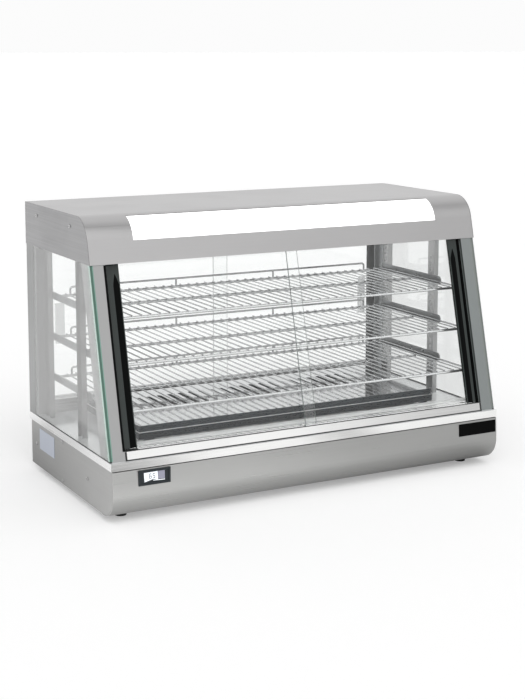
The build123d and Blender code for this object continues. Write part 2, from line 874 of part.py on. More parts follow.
def shelf(index):
    """Welded wires: thin ones front to back on top, thick ones across below."""
    level = shelf_level(shelf_slots[index]) + shelf_rest_gap
    back = shelf_rear
    front = back - top_shelf_depth - shelf_depth_step * index
    places, side = wire_places()
    wires = []
    for x, wire in [(x, surface_wire) for x in places] + [(-side, side_wire), (side, side_wire)]:
        z = level + wire / 2
        wires.append(rod((x, front, z), (x, back, z), wire / 2))
    short = upright_x - bracket_sheet - bracket_flange - 2 * fit_gap
    middle = (front + back) / 2
    for y, reach in ((front + cross_wire / 2, shelf_half_width), (middle, short), (fence_y, short)):
        z = level - cross_wire / 2 + wire_weld
        wires.append(rod((-reach, y, z), (reach, y, z), cross_wire / 2))
    return wires[0].fuse(*wires[1:]).solid()


def shelf_fence(index):
    """A low wire rail along the back of a shelf, on legs between the surface wires."""
    level = shelf_level(shelf_slots[index]) + shelf_rest_gap
    low, high = level - cross_wire / 2 + wire_weld, level + fence_height
    reach = wire_pitch * fence_leg_step
    end = reach - 2 * fence_bend
    rail = rod((-end, fence_y, high), (end, fence_y, high), fence_wire / 2)
    corners = [(reach, fence_y, low), (reach, fence_y, high), (end, fence_y, high)]
    path = FilletPolyline(*corners, radius=fence_bend)
    leg = sweep(Plane(origin=path @ 0, z_dir=path % 0) * Circle(fence_wire / 2), path=path)
    x = wire_pitch * fence_post_step
    post = rod((x, fence_y, low), (x, fence_y, high), fence_wire / 2) - rail
    return solids_of([rail, leg, mirrored(leg), post, mirrored(post)])


# Hood


def toward(degrees_past_top, distance):
    """A point out from the middle of the hood's front curve."""
    angle = radians(90 + degrees_past_top)
    return arc_y + distance * cos(angle), arc_z + distance * sin(angle)


def lip_at(z, back=0.0):
    return lip_y + (z - hood_z) * lean + back


def hood_outline(inset, z_low):
    """The closed side outline of the hood, moved inwards."""
    radius = hood_radius - inset
    back, top = rear_y - inset, top_z - inset
    turn = 90 - front_lean
    on_top, middle, on_lip = (arc_y, top), toward(turn / 2, radius), toward(turn, radius)
    lip_low = (on_lip[0] - (on_lip[1] - z_low) * lean, z_low)
    straight = Polyline(lip_low, (back, z_low), (back, top), on_top)
    return make_face([straight, ThreePointArc(on_top, middle, on_lip), Line(on_lip, lip_low)])


window_low = hood_z + window_above_hood_edge


def hood_shell():
    length = (-wall_x, wall_x)
    shell = along_x(hood_outline(0, hood_z), length)
    shell -= along_x(hood_outline(sheet, hood_z - overcut), length)
    depth = window_cut_depth
    window = Polygon(
        toward(window_start, hood_radius - depth), toward(window_start, hood_radius + depth),
        (lip_at(window_low, -hood_radius), window_low), (lip_at(window_low, depth), window_low),
    )
    return shell - along_x(window, (-window_half_width, window_half_width))


def hood_end():
    plate = along_x(hood_outline(0, hood_z), (wall_x, half_width))
    return without_screw_holes(plate, hood_screw_points)


def light_panel():
    reach = window_half_width + light_panel_margin
    low = window_low - light_panel_margin
    panel = along_x(hood_outline(sheet, hood_z), (-reach, reach))
    panel -= along_x(hood_outline(sheet + light_panel_thickness, hood_z), (-reach, reach))
    start = window_start - light_panel_overlap_angle
    wedge = Polygon(
        (arc_y, arc_z), toward(start, 2 * hood_radius),
        (lip_at(low, -hood_radius), low), (lip_at(low, hood_radius), low),
    )
    return panel & along_x(wedge, (-reach, reach))


lamp_y = arc_y + lamp_back
lamp_window_half_width = lamp_length / 2 - lamp_window_from_holder
lamp_z = ceiling_z + sheet + lamp_above_ceiling


def ceiling_plate():
    wide_y = (front_y(frame_top, pillar_depth + ceiling_gap), step_y - post_wing - ceiling_gap)
    z = (ceiling_z, ceiling_z + sheet)
    plate = block((-glass_x + ceiling_gap, glass_x - ceiling_gap), wide_y, z)
    tongue_front = front_y(ceiling_z + upper_track_height, front_track_depth + ceiling_gap)
    tongue_x = pillar_x - ceiling_gap
    plate += block((-tongue_x, tongue_x), (tongue_front, wide_y[0] + overcut), z)
    over_x, over_back = upright_x + upright_depth, step_y - ceiling_gap
    plate += block((-over_x, over_x), (wide_y[1] - overcut, over_back), z)
    back_x = post_x - ceiling_gap
    plate += block((-back_x, back_x), (over_back - overcut, post_front), z)
    window_x = (-lamp_window_half_width, lamp_window_half_width)
    window_y = (lamp_y - lamp_window_depth / 2, lamp_y + lamp_window_depth / 2)
    return plate - block(window_x, window_y, (z[0] - overcut, z[1] + overcut))


def lamp_cover():
    reach = lamp_window_half_width + lamp_cover_margin
    half = lamp_window_depth / 2 + lamp_cover_margin
    low = ceiling_z + sheet
    return block((-reach, reach), (lamp_y - half, lamp_y + half), (low, low + lamp_cover_thickness))


def lamp_tube():
    tube = rod((-lamp_length / 2, lamp_y, lamp_z), (lamp_length / 2, lamp_y, lamp_z), lamp_radius)
    reach = lamp_length / 2 + lamp_pin_length
    for z in (lamp_z - lamp_pin_spread, lamp_z + lamp_pin_spread):
        tube += rod((-reach, lamp_y, z), (reach, lamp_y, z), lamp_pin_radius)
    return tube


def lamp_holder():
    near = lamp_length / 2 + lamp_pin_gap
    half = holder_width / 2
    holder_z = (ceiling_z + sheet, lamp_z + holder_top)
    holder = block((near, near + holder_thickness), (lamp_y - half, lamp_y + half), holder_z)
    hole = lamp_pin_radius + lamp_pin_gap
    for z in (lamp_z - lamp_pin_spread, lamp_z + lamp_pin_spread):
        holder -= rod((near - overcut, lamp_y, z), (near + lamp_pin_length, lamp_y, z), hole)
    return holder


def all_pieces():
    """Every piece of the case by name, at rest."""
    pieces = {
        "base_tray": base_tray(),
        "front_fascia": front_fascia(),
        "base_rear_panel": base_rear_panel(),
        "deck_plate": deck_plate(),
        "rubber_feet": rubber_feet(),
        "case_screws": case_screws(),
        "thermometer_case": display_case(),
        "thermometer_lens": display_lens(),
        "name_plate": name_plate(),
        "rating_plate": rating_plate(),
        "heater_cover": heater_cover(),
        "heating_elements": pair_of(heating_element()),
        "terminal_block": terminal_block(),
        "thermostat_body": thermostat_body(),
        "thermostat_shaft": thermostat_shaft(),
        "thermostat_knob": thermostat_knob(),
        "indicator_lamp": indicator_lamp(),
        "switch_frames": solids_of([switch_frame(x) for x in switch_xs]),
        "cable_gland": cable_gland(),
        "side_gaskets": pair_of(side_gasket()),
        "front_track_lower": front_track_lower(),
        "front_track_upper": front_track_upper(),
        "rear_track_lower": rear_track_lower(),
        "rear_track_upper": rear_track_upper(),
        "hood_shell": hood_shell(),
        "light_panel": light_panel(),
        "ceiling_plate": ceiling_plate(),
        "lamp_tube": lamp_tube(),
        "lamp_holders": pair_of(lamp_holder()),
        "lamp_cover": lamp_cover(),
        "front_door_left_glass": front_door(-1, glass_offsets[1]),
        "front_door_left_profile": mirrored(edge_profile(glass_offsets[1])),
        "front_door_right_glass": front_door(1, glass_offsets[0]),
        "front_door_right_profile": edge_profile(glass_offsets[0]),
        "rear_door_left_glass": rear_door(-1, rear_glass_y[0]),
        "rear_door_left_pull": mirrored(door_pull(rear_glass_y[0])),
        "rear_door_right_glass": rear_door(1, rear_glass_y[1]),
        "rear_door_right_pull": door_pull(rear_glass_y[1]),
    }
    for name, x in zip(("power", "light"), switch_xs):
        pieces[f"{name}_switch_rocker"] = switch_rocker(x)
    for index, name in enumerate(("top", "middle", "lower")):
        pieces[f"{name}_shelf"] = shelf(index)
        pieces[f"{name}_shelf_fence"] = shelf_fence(index)
    sided = {
        "base_side": base_side(),
        "rear_post": rear_post(),
        "front_pillar": front_pillar(),
        "shelf_uprights": uprights(),
        "shelf_brackets": brackets(),
        "side_glass": side_pane(),
        "hood_end": hood_end(),
    }
    for name, piece in sided.items():
        pieces[f"{name}_right"] = piece
        pieces[f"{name}_left"] = mirrored(piece)
    return pieces


os.makedirs("parts", exist_ok=True)
for node, piece in all_pieces().items():
    export_step(piece, f"parts/{node}.step")
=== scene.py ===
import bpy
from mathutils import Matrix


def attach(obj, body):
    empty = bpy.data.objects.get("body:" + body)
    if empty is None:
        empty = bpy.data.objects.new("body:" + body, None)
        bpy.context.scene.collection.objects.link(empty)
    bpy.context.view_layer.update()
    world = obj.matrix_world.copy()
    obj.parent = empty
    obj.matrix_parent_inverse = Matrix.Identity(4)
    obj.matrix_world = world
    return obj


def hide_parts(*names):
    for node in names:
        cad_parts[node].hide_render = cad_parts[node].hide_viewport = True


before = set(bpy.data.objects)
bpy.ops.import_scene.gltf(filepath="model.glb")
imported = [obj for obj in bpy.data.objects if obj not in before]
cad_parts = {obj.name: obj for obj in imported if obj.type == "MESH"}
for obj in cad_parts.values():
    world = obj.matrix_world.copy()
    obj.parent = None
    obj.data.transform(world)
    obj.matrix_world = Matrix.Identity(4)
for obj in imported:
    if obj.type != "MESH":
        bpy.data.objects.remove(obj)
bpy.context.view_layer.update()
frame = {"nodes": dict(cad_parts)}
import fnmatch
import math
import bmesh
import bpy
from mathutils import Matrix, Vector

nodes = frame["nodes"]
print("frame loaded, nodes:", len(nodes))


def addNode(tree, kind, values=None, **settings):
    node = tree.nodes.new(kind)
    for key, value in settings.items():
        setattr(node, key, value)
    for key, value in (values or {}).items():
        node.inputs[key].default_value = value
    return node


def startMaterial(name):
    material = bpy.data.materials.new(name)
    material.use_nodes = True
    tree = material.node_tree
    tree.nodes.clear()
    return material, tree, addNode(tree, "ShaderNodeOutputMaterial")


def startGroup(name, inputs, outputs):
    tree = bpy.data.node_groups.new(name, "ShaderNodeTree")
    for label, kind, value in inputs:
        socket = tree.interface.new_socket(name=label, in_out="INPUT", socket_type=kind)
        socket.default_value = value
    for label, kind in outputs:
        tree.interface.new_socket(name=label, in_out="OUTPUT", socket_type=kind)
    return tree, addNode(tree, "NodeGroupInput"), addNode(tree, "NodeGroupOutput")


def useGroup(tree, group, values):
    return addNode(tree, "ShaderNodeGroup", values, node_tree=group)


# a socket takes a number, a colour or a link
def feed(tree, socket, value):
    if isinstance(value, (int, float)):
        socket.default_value = value
    elif isinstance(value, tuple):
        socket.default_value = (*value, 1.0)
    else:
        tree.links.new(value, socket)


def calc(tree, operation, first, second=0.5, third=0.5, clamp=False):
    node = addNode(tree, "ShaderNodeMath", operation=operation, use_clamp=clamp)
    for slot, value in enumerate((first, second, third)):
        feed(tree, node.inputs[slot], value)
    return node.outputs[0]


def product(tree, first, *others):
    for other in others:
        first = calc(tree, "MULTIPLY", first, other)
    return first


# from the first value to the second as the mask goes from 0 to 1
def fade(tree, mask, first, second):
    return calc(tree, "MULTIPLY_ADD", mask, calc(tree, "SUBTRACT", second, first), first)


def spread(tree, value, low, high, toLow=0.0, toHigh=1.0):
    node = addNode(tree, "ShaderNodeMapRange", {1: low, 2: high, 3: toLow, 4: toHigh})
    tree.links.new(value, node.inputs[0])
    return node.outputs[0]


def blend(tree, factor, first, second):
    node = addNode(tree, "ShaderNodeMix", data_type="RGBA")
    for slot, value in ((0, factor), (6, first), (7, second)):
        feed(tree, node.inputs[slot], value)
    return node.outputs[2]


def splitPlace(tree, kind, output):
    source = addNode(tree, kind)
    parts = addNode(tree, "ShaderNodeSeparateXYZ")
    tree.links.new(source.outputs[output], parts.inputs[0])
    return parts.outputs


def objectNoise(tree, scale, detail, stretch=None, twist=0.0):
    coords = addNode(tree, "ShaderNodeTexCoord")
    noise = addNode(tree, "ShaderNodeTexNoise", {"Detail": detail, "Distortion": twist})
    feed(tree, noise.inputs["Scale"], scale)
    source = coords.outputs["Object"]
    if stretch is not None:
        mapping = addNode(tree, "ShaderNodeMapping")
        tree.links.new(source, mapping.inputs["Vector"])
        tree.links.new(stretch, mapping.inputs["Scale"])
        source = mapping.outputs["Vector"]
    tree.links.new(source, noise.inputs["Vector"])
    return noise.outputs[0]


# brushed grain: streaks along one direction and a slow cloudiness, each with its scale and detail
grainNoise = {"streak": (1.0, 5.0), "cloud": (3.5, 2.0), "middle": 0.5, "roughSpan": (0.3, 0.7)}
brushedGrain, grainIn, grainOut = startGroup("brushedGrain", [
    ("Tone", "NodeSocketColor", (0.6, 0.6, 0.6, 1.0)), ("Stretch", "NodeSocketVector", (4.0, 600.0, 600.0)),
    ("Grain", "NodeSocketFloat", 0.05), ("Cloud", "NodeSocketFloat", 0.04),
    ("Rough Low", "NodeSocketFloat", 0.28), ("Rough High", "NodeSocketFloat", 0.40)],
    [("Color", "NodeSocketColor"), ("Roughness", "NodeSocketFloat"), ("Height", "NodeSocketFloat")])
streak = objectNoise(brushedGrain, *grainNoise["streak"], grainIn.outputs["Stretch"])
cloud = objectNoise(brushedGrain, *grainNoise["cloud"])
grainLevel = 1.0
for noise, amount in ((streak, "Grain"), (cloud, "Cloud")):
    swing = calc(brushedGrain, "SUBTRACT", noise, grainNoise["middle"])
    grainLevel = calc(brushedGrain, "MULTIPLY_ADD", swing, grainIn.outputs[amount], grainLevel)
tinted = addNode(brushedGrain, "ShaderNodeVectorMath", operation="SCALE")
brushedGrain.links.new(grainIn.outputs["Tone"], tinted.inputs[0])
brushedGrain.links.new(grainLevel, tinted.inputs["Scale"])
brushedGrain.links.new(tinted.outputs[0], grainOut.inputs["Color"])
grainRough = fade(brushedGrain, spread(brushedGrain, streak, *grainNoise["roughSpan"]),
                  grainIn.outputs["Rough Low"], grainIn.outputs["Rough High"])
brushedGrain.links.new(grainRough, grainOut.inputs["Roughness"])
brushedGrain.links.new(streak, grainOut.inputs["Height"])

# hand marks: soft patches where a surface has been touched or wiped
markNoise = {"detail": 4.0, "twist": 0.6, "span": (0.46, 0.72)}
handMarks, marksIn, marksOut = startGroup("handMarks", [
    ("Scale", "NodeSocketFloat", 6.0), ("Amount", "NodeSocketFloat", 0.1)], [("Mask", "NodeSocketFloat")])
patches = objectNoise(handMarks, marksIn.outputs["Scale"], markNoise["detail"], twist=markNoise["twist"])
marksMask = product(handMarks, spread(handMarks, patches, *markNoise["span"]), marksIn.outputs["Amount"])
handMarks.links.new(marksMask, marksOut.inputs["Mask"])

# edge light: a painted highlight, lighter metal along folded edges
edgeTurn = {"samples": 4, "span": (0.995, 0.85)}
edgeLight, edgeIn, edgeOut = startGroup("edgeLight", [
    ("Radius", "NodeSocketFloat", 0.0015), ("Amount", "NodeSocketFloat", 0.4)], [("Mask", "NodeSocketFloat")])
edgeBevel = addNode(edgeLight, "ShaderNodeBevel", samples=edgeTurn["samples"])
edgeLight.links.new(edgeIn.outputs["Radius"], edgeBevel.inputs["Radius"])
edgeGeometry = addNode(edgeLight, "ShaderNodeNewGeometry")
edgeDot = addNode(edgeLight, "ShaderNodeVectorMath", operation="DOT_PRODUCT")
edgeLight.links.new(edgeBevel.outputs[0], edgeDot.inputs[0])
edgeLight.links.new(edgeGeometry.outputs["Normal"], edgeDot.inputs[1])
edgeMask = product(edgeLight, spread(edgeLight, edgeDot.outputs["Value"], *edgeTurn["span"]),
                   edgeIn.outputs["Amount"])
edgeLight.links.new(edgeMask, edgeOut.inputs["Mask"])

# moulded skin: the fine pebble of moulded plastic and rubber
skinNoise = {"pebbleDetail": 3.0, "cloud": (12.0, 3.0)}
mouldedSkin, skinIn, skinOut = startGroup("mouldedSkin", [
    ("Scale", "NodeSocketFloat", 900.0), ("Rough Low", "NodeSocketFloat", 0.4),
    ("Rough High", "NodeSocketFloat", 0.55)],
    [("Roughness", "NodeSocketFloat"), ("Height", "NodeSocketFloat")])
pebble = objectNoise(mouldedSkin, skinIn.outputs["Scale"], skinNoise["pebbleDetail"])
skinRough = fade(mouldedSkin, objectNoise(mouldedSkin, *skinNoise["cloud"]),
                 skinIn.outputs["Rough Low"], skinIn.outputs["Rough High"])
mouldedSkin.links.new(skinRough, skinOut.inputs["Roughness"])
mouldedSkin.links.new(pebble, skinOut.inputs["Height"])
print("shared surface groups made")

# what a sheet, plastic or pane has where its own look doesn't say
sheetLook = {"metal": 1.0, "grain": 0.10, "cloud": 0.05, "marks": 0.05, "marksScale": 7.0, "edge": 0.0012,
             "edgeHighlight": 0.35, "lighter": 1.35, "lightest": 0.95, "bump": 0.06, "depth": 0.0003}
plasticLook = {"shine": 0.5, "coat": 0.0, "alpha": 1.0, "glow": 0.0, "pebble": 900.0, "bump": 0.08,
               "depth": 0.0002}
paneLook = {"ior": 1.5, "shine": 0.5, "rough": 0.0, "marks": 0.02, "marksScale": 5.0}
# the front leans back from the deck up
lean = {"front": -0.226, "deck": 0.126, "slope": 0.24562}


def leanAt(z, offset):
    return lean["front"] + (z - lean["deck"]) * lean["slope"] + offset


def bump(tree, height, shader, look):
    node = addNode(tree, "ShaderNodeBump", {"Strength": look["bump"], "Distance": look["depth"]})
    tree.links.new(height, node.inputs["Height"])
    tree.links.new(node.outputs["Normal"], shader.inputs["Normal"])


def sheetMetal(name, ownLook):
    look = {**sheetLook, **ownLook}
    material, tree, out = startMaterial(name)
    shader = addNode(tree, "ShaderNodeBsdfPrincipled", {"Metallic": look["metal"]})
    grain = useGroup(tree, brushedGrain, {
        "Tone": (*look["tone"], 1.0), "Stretch": look["stretch"], "Grain": look["grain"],
        "Cloud": look["cloud"], "Rough Low": look["rough"][0], "Rough High": look["rough"][1]})
    marks = useGroup(tree, handMarks, {"Scale": look["marksScale"], "Amount": look["marks"]})
    edge = useGroup(tree, edgeLight, {"Radius": look["edge"], "Amount": look["edgeHighlight"]})
    # the edge mask blends in a lighter tone: a painted highlight along edges
    lighter = tuple(min(look["lightest"], part * look["lighter"]) for part in look["tone"])
    colour = blend(tree, edge.outputs["Mask"], grain.outputs["Color"], lighter)
    tree.links.new(colour, shader.inputs["Base Color"])
    rough = calc(tree, "ADD", grain.outputs["Roughness"], marks.outputs["Mask"])
    tree.links.new(rough, shader.inputs["Roughness"])
    bump(tree, grain.outputs["Height"], shader, look)
    tree.links.new(shader.outputs[0], out.inputs[0])
    return material


def mouldedPlastic(name, ownLook):
    look = {**plasticLook, **ownLook}
    material, tree, out = startMaterial(name)
    shader = addNode(tree, "ShaderNodeBsdfPrincipled", {
        "Base Color": (*look["tone"], 1.0), "Specular IOR Level": look["shine"], "Coat Weight": look["coat"],
        "Alpha": look["alpha"], "Emission Strength": look["glow"], "Emission Color": (*look["tone"], 1.0)})
    skin = useGroup(tree, mouldedSkin, {"Scale": look["pebble"], "Rough Low": look["rough"][0],
                                        "Rough High": look["rough"][1]})
    tree.links.new(skin.outputs["Roughness"], shader.inputs["Roughness"])
    bump(tree, skin.outputs["Height"], shader, look)
    tree.links.new(shader.outputs[0], out.inputs[0])
    return material


def clearPane(name, ownLook):
    look = {**paneLook, **ownLook}
    material, tree, out = startMaterial(name)
    shader = addNode(tree, "ShaderNodeBsdfPrincipled", {
        "Base Color": (*look["tone"], 1.0), "Transmission Weight": 1.0, "IOR": look["ior"],
        "Specular IOR Level": look["shine"]})
    marks = useGroup(tree, handMarks, {"Scale": look["marksScale"], "Amount": look["marks"]})
    rough = calc(tree, "ADD", marks.outputs["Mask"], look["rough"])
    tree.links.new(rough, shader.inputs["Roughness"])
    if "rimTint" in look:  # greener towards the sloping front edge
        place = splitPlace(tree, "ShaderNodeTexCoord", "Object")
        back = calc(tree, "MULTIPLY_ADD", place["Z"], -lean["slope"], place["Y"])
        start = leanAt(0.0, 0.0)
        near = spread(tree, back, start, start + look["rimReach"], 1.0, 0.0)
        tree.links.new(blend(tree, near, look["tone"], look["rimTint"]), shader.inputs["Base Color"])
    through = addNode(tree, "ShaderNodeBsdfTransparent", {"Color": (*look.get("cast", look["tone"]), 1.0)})
    rays = addNode(tree, "ShaderNodeLightPath")
    mix = addNode(tree, "ShaderNodeMixShader")
    tree.links.new(rays.outputs["Is Shadow Ray"], mix.inputs[0])
    tree.links.new(shader.outputs[0], mix.inputs[1])
    tree.links.new(through.outputs[0], mix.inputs[2])
    tree.links.new(mix.outputs[0], out.inputs[0])
    return material


def pick(pattern):
    return fnmatch.filter(nodes, pattern)


def dress(names, *materials):
    for name in names:
        mesh = nodes[name].data
        mesh.materials.clear()
        for material in materials:
            mesh.materials.append(material)


def finishFaces(names, rule):
    for name in names:
        for face in nodes[name].data.polygons:
            face.material_index = rule(face)


softEdge = {"weld": 0.00001, "segments": 2, "angle": 40}


def weldSeams(piece):
    weld = piece.modifiers.new("join", "WELD")
    weld.merge_threshold = softEdge["weld"]


def soften(name, width):
    piece = nodes[name]
    weldSeams(piece)
    bevel = piece.modifiers.new("soften", "BEVEL")
    bevel.width = width
    bevel.segments = softEdge["segments"]
    bevel.limit_method = "ANGLE"
    bevel.angle_limit = math.radians(softEdge["angle"])
    even = piece.modifiers.new("even", "WEIGHTED_NORMAL")
    even.keep_sharp = True


def addObject(name, data):
    thing = bpy.data.objects.new(name, data)
    bpy.context.scene.collection.objects.link(thing)
    return thing


def closeMesh(name, mesh, materials=()):
    data = bpy.data.meshes.new(name)
    mesh.to_mesh(data)
    mesh.free()
    for material in materials:
        data.materials.append(material)
    return data


def addPiece(name, mesh, materials, body):
    bmesh.ops.recalc_face_normals(mesh, faces=mesh.faces)
    piece = addObject(name, closeMesh(name, mesh, materials))
    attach(piece, body)
    return piece


def joinRows(mesh, rings, finishes=None, closed=False):
    rows = [[mesh.verts.new(point) for point in ring] for ring in rings]
    following = rows[1:] + rows[:1] if closed else rows[1:]
    for step, (low, high) in enumerate(zip(rows, following)):
        for i in range(len(low)):
            j = (i + 1) % len(low)
            side = mesh.faces.new((low[i], low[j], high[j], high[i]))
            side.material_index = finishes[step][i] if finishes else 0
    return rows


def addRun(mesh, rings, finishes=None):
    rows = joinRows(mesh, rings, finishes)
    mesh.faces.new(list(reversed(rows[0])))
    mesh.faces.new(rows[-1])


def runAcross(mesh, section, left, right):
    addRun(mesh, [[(x, y, z) for y, z in section] for x in (left, right)])


def runUpFront(mesh, plans, finishes=None):
    addRun(mesh, [[(x, leanAt(z, offset), z) for x, offset in plan] for z, plan in plans], finishes)


def runStraightUp(mesh, plan, heights, sign=1):
    runUpFront(mesh, [(z, [(sign * x, offset) for x, offset in plan]) for z in heights])


# a flat outline seen from the front, made thick between two depths
def addPlate(mesh, outline, depths, place=Matrix()):
    addRun(mesh, [[place @ Vector((x, y, z)) for x, z in outline] for y in depths])


def oblong(left, low, right, high):
    return [(left, low), (right, low), (right, high), (left, high)]


def circle(steps):
    turns = [2 * math.pi * i / steps for i in range(steps)]
    return [(math.cos(turn), math.sin(turn)) for turn in turns]


def turned(degrees, axis):
    return Matrix.Rotation(math.radians(degrees), 4, axis)


# camera
camera = {"place": (-1.47187, -2.76179, 0.91767), "pitch": 90 - 7.7056, "yaw": -27.9939,
          "lens": 74.805, "sensor": 36.0, "shiftY": -0.15, "clipEnd": 1000.0}
lensData = bpy.data.cameras.new("caseCamera")
lensData.lens = camera["lens"]
lensData.sensor_width = camera["sensor"]
lensData.shift_y = camera["shiftY"]
lensData.clip_end = camera["clipEnd"]
eye = addObject("caseCamera", lensData)
eye.location = camera["place"]
eye.rotation_euler = (math.radians(camera["pitch"]), 0.0, math.radians(camera["yaw"]))
bpy.context.scene.camera = eye
bpy.context.scene.view_settings.view_transform = "Standard"
print("camera set")

# floor: what polished metal sees is a painted shadow round the foot of the case and a bright card lying in
# front of it
stage = {"reach": 300.0, "tone": 0.77, "glow": 0.29, "footShadeTone": 0.34, "cardDip": 0.36,
         "footSide": (0.48, 0.45), "sideSlant": 1.87, "sideGlow": (-1.054, -0.654, 0.66, 0.0)}
# fades over the floor: axis, where each starts and ends, and its values there
floorFades = {
    "cardNear": ("Y", -0.74, -0.68), "cardFar": ("Y", -0.50, -0.56),
    "dipLeft": ("X", 0.17, 0.29), "dipRight": ("X", 0.42, 0.32),
    "cardTone": ("X", -0.30, -0.13, 0.62, 1.0), "cardShine": ("X", -0.22, -0.03, 0.0, 0.30),
    "footFront": ("Y", -0.42, -0.15), "footBack": ("Y", 0.30, 0.24), "footRight": ("X", 0.0, 0.6, 1.0, 0.75),
    "farRight": ("X", 0.0, 0.7, 1.0, 0.82), "wideShine": ("X", -0.35, 0.60, 0.78, 0.0),
    "rightShine": ("X", 0.48, 0.60, 0.0, 0.78), "rightFront": ("Y", -0.45, -0.25),
    "leftFar": ("X", -0.70, -0.68), "leftNear": ("X", -0.44, -0.46), "leftBack": ("Y", 0.72, 0.55)}
floorMaterial, floorTree, floorEnd = startMaterial("paleFloor")
floorPlace = splitPlace(floorTree, "ShaderNodeNewGeometry", "Position")
floorRays = addNode(floorTree, "ShaderNodeLightPath").outputs


def floorMask(*names):
    fades = [floorFades[name] for name in names]
    return product(floorTree, *[spread(floorTree, floorPlace[axis], *span) for axis, *span in fades])


card = floorMask("cardNear", "cardFar")
cardKeep = spread(floorTree, floorMask("dipLeft", "dipRight"), 0.0, 1.0, 1.0, 1.0 - stage["cardDip"])
cardTone = product(floorTree, cardKeep, floorMask("cardTone"))
cardShine = product(floorTree, cardKeep, floorMask("cardShine"))
# the floor round the case's foot is darker in reflections: a painted shadow
footSide = spread(floorTree, calc(floorTree, "ABSOLUTE", floorPlace["X"]), *stage["footSide"])
footShadeMask = product(floorTree, floorMask("footFront", "footBack", "footRight"), footSide)
wideTone = product(floorTree, spread(floorTree, footShadeMask, 0.0, 1.0, 1.0, stage["footShadeTone"]),
                   floorMask("farRight"))
openShine = calc(floorTree, "MAXIMUM", floorMask("rightShine", "rightFront"), floorMask("wideShine"))
# beside the base on the left: brighter towards its front
sideRun = calc(floorTree, "MULTIPLY_ADD", floorPlace["X"], stage["sideSlant"], floorPlace["Y"])
sideGlow = spread(floorTree, sideRun, *stage["sideGlow"])
wideShine = fade(floorTree, floorMask("leftFar", "leftNear", "leftBack"),
                 product(floorTree, wideTone, openShine), sideGlow)
floorShine = fade(floorTree, card, wideShine, cardShine)
floorDim = fade(floorTree, card, wideTone, cardTone)
throughGlass = floorRays["Is Transmission Ray"]
floorGlossy = calc(floorTree, "SUBTRACT", floorRays["Is Glossy Ray"], throughGlass, clamp=True)
floorSeen = calc(floorTree, "MAXIMUM", floorRays["Is Camera Ray"], throughGlass)
floorDiffuse = addNode(floorTree, "ShaderNodeBsdfDiffuse")
floorTree.links.new(product(floorTree, stage["tone"], fade(floorTree, floorGlossy, 1.0, floorDim)),
                    floorDiffuse.inputs["Color"])
floorGlow = addNode(floorTree, "ShaderNodeEmission", {"Color": (1.0, 1.0, 1.0, 1.0)})
floorTree.links.new(calc(floorTree, "MAXIMUM", product(floorTree, floorSeen, stage["glow"]),
                         product(floorTree, floorGlossy, floorShine)), floorGlow.inputs["Strength"])
floorSum = addNode(floorTree, "ShaderNodeAddShader")
floorTree.links.new(floorDiffuse.outputs[0], floorSum.inputs[0])
floorTree.links.new(floorGlow.outputs[0], floorSum.inputs[1])
floorTree.links.new(floorSum.outputs[0], floorEnd.inputs[0])
floorMesh = bmesh.new()
bmesh.ops.create_grid(floorMesh, x_segments=1, y_segments=1, size=stage["reach"])
floor = addObject("paleFloor", closeMesh("paleFloor", floorMesh, [floorMaterial]))

# room: white where it is seen, with tones of its own where metal reflects it
room = {"level": 0.62, "white": 0.972, "slant": -0.35, "front": (0.15, -0.35), "back": (0.2, 0.65, 1.0, 0.97),
        "left": (0.15, 0.38, 0.84, 1.15), "overhead": (0.42, 0.85, 1.0, 0.54),
        "ahead": (0.412, 0.512, 0.815, 0.31)}
world = bpy.data.worlds.new("paleRoom")
bpy.context.scene.world = world
world.use_nodes = True
sky = world.node_tree
sky.nodes.clear()
skyEnd = addNode(sky, "ShaderNodeOutputWorld")
skyRays = addNode(sky, "ShaderNodeLightPath").outputs
skyWay = splitPlace(sky, "ShaderNodeTexCoord", "Generated")
skySlant = calc(sky, "MULTIPLY_ADD", skyWay["Z"], room["slant"], skyWay["X"])
skyAhead = product(sky, spread(sky, skySlant, *room["left"]), spread(sky, skyWay["Z"], *room["overhead"]),
                   spread(sky, skySlant, *room["ahead"]))
skyBack = spread(sky, skyWay["X"], *room["back"])
skyShine = fade(sky, spread(sky, skyWay["Y"], *room["front"]), skyBack, skyAhead)
skyLevel = fade(sky, skyRays["Is Glossy Ray"], room["level"], skyShine)
skySeen = calc(sky, "MAXIMUM", skyRays["Is Camera Ray"], skyRays["Is Transmission Ray"])
skyLight = addNode(sky, "ShaderNodeBackground", {"Color": (1.0, 1.0, 1.0, 1.0)})
sky.links.new(fade(sky, skySeen, skyLevel, room["white"]), skyLight.inputs["Strength"])
sky.links.new(skyLight.outputs[0], skyEnd.inputs[0])

# lamps: power, width in degrees and turn
lamps = {"key": (1.1, 50.0, (38.0, -18.0, 0.0)), "fill": (0.35, 70.0, (58.0, 35.0, 0.0))}
for lampName, (power, width, turn) in lamps.items():
    lampData = bpy.data.lights.new(lampName + "Sun", "SUN")
    lampData.energy = power
    lampData.angle = math.radians(width)
    lamp = addObject(lampName + "Sun", lampData)
    lamp.rotation_euler = [math.radians(part) for part in turn]
print("stage set")

# brushing: along the case, from front to back, upward, along a polished plate and along a drawn section
longGrain = (5.0, 500.0, 500.0)
deepGrain = (500.0, 5.0, 500.0)
tallGrain = (500.0, 500.0, 5.0)
polishGrain = (6.0, 400.0, 400.0)
drawnGrain = (8.0, 600.0, 600.0)

# hood: rounded shell, ends and ceiling
hood = {"tone": (0.480, 0.475, 0.477), "stretch": longGrain, "rough": (0.30, 0.42), "softEdge": 0.0005}
dress(["hood_shell"], sheetMetal("hoodSheet", hood))
soften("hood_shell", hood["softEdge"])
# the hood's ends are a darker copy of its sheet: painted shade on the sides
shadedHoodEnds = {"tone": (0.230, 0.229, 0.232), "stretch": deepGrain, "rough": (0.32, 0.44)}
dress(["hood_end_left", "hood_end_right"], sheetMetal("shadedHoodEndSheet", shadedHoodEnds))
ceiling = {"tone": (0.45, 0.45, 0.45), "stretch": longGrain, "rough": (0.25, 0.35)}
dress(["ceiling_plate"], sheetMetal("ceilingSheet", ceiling))

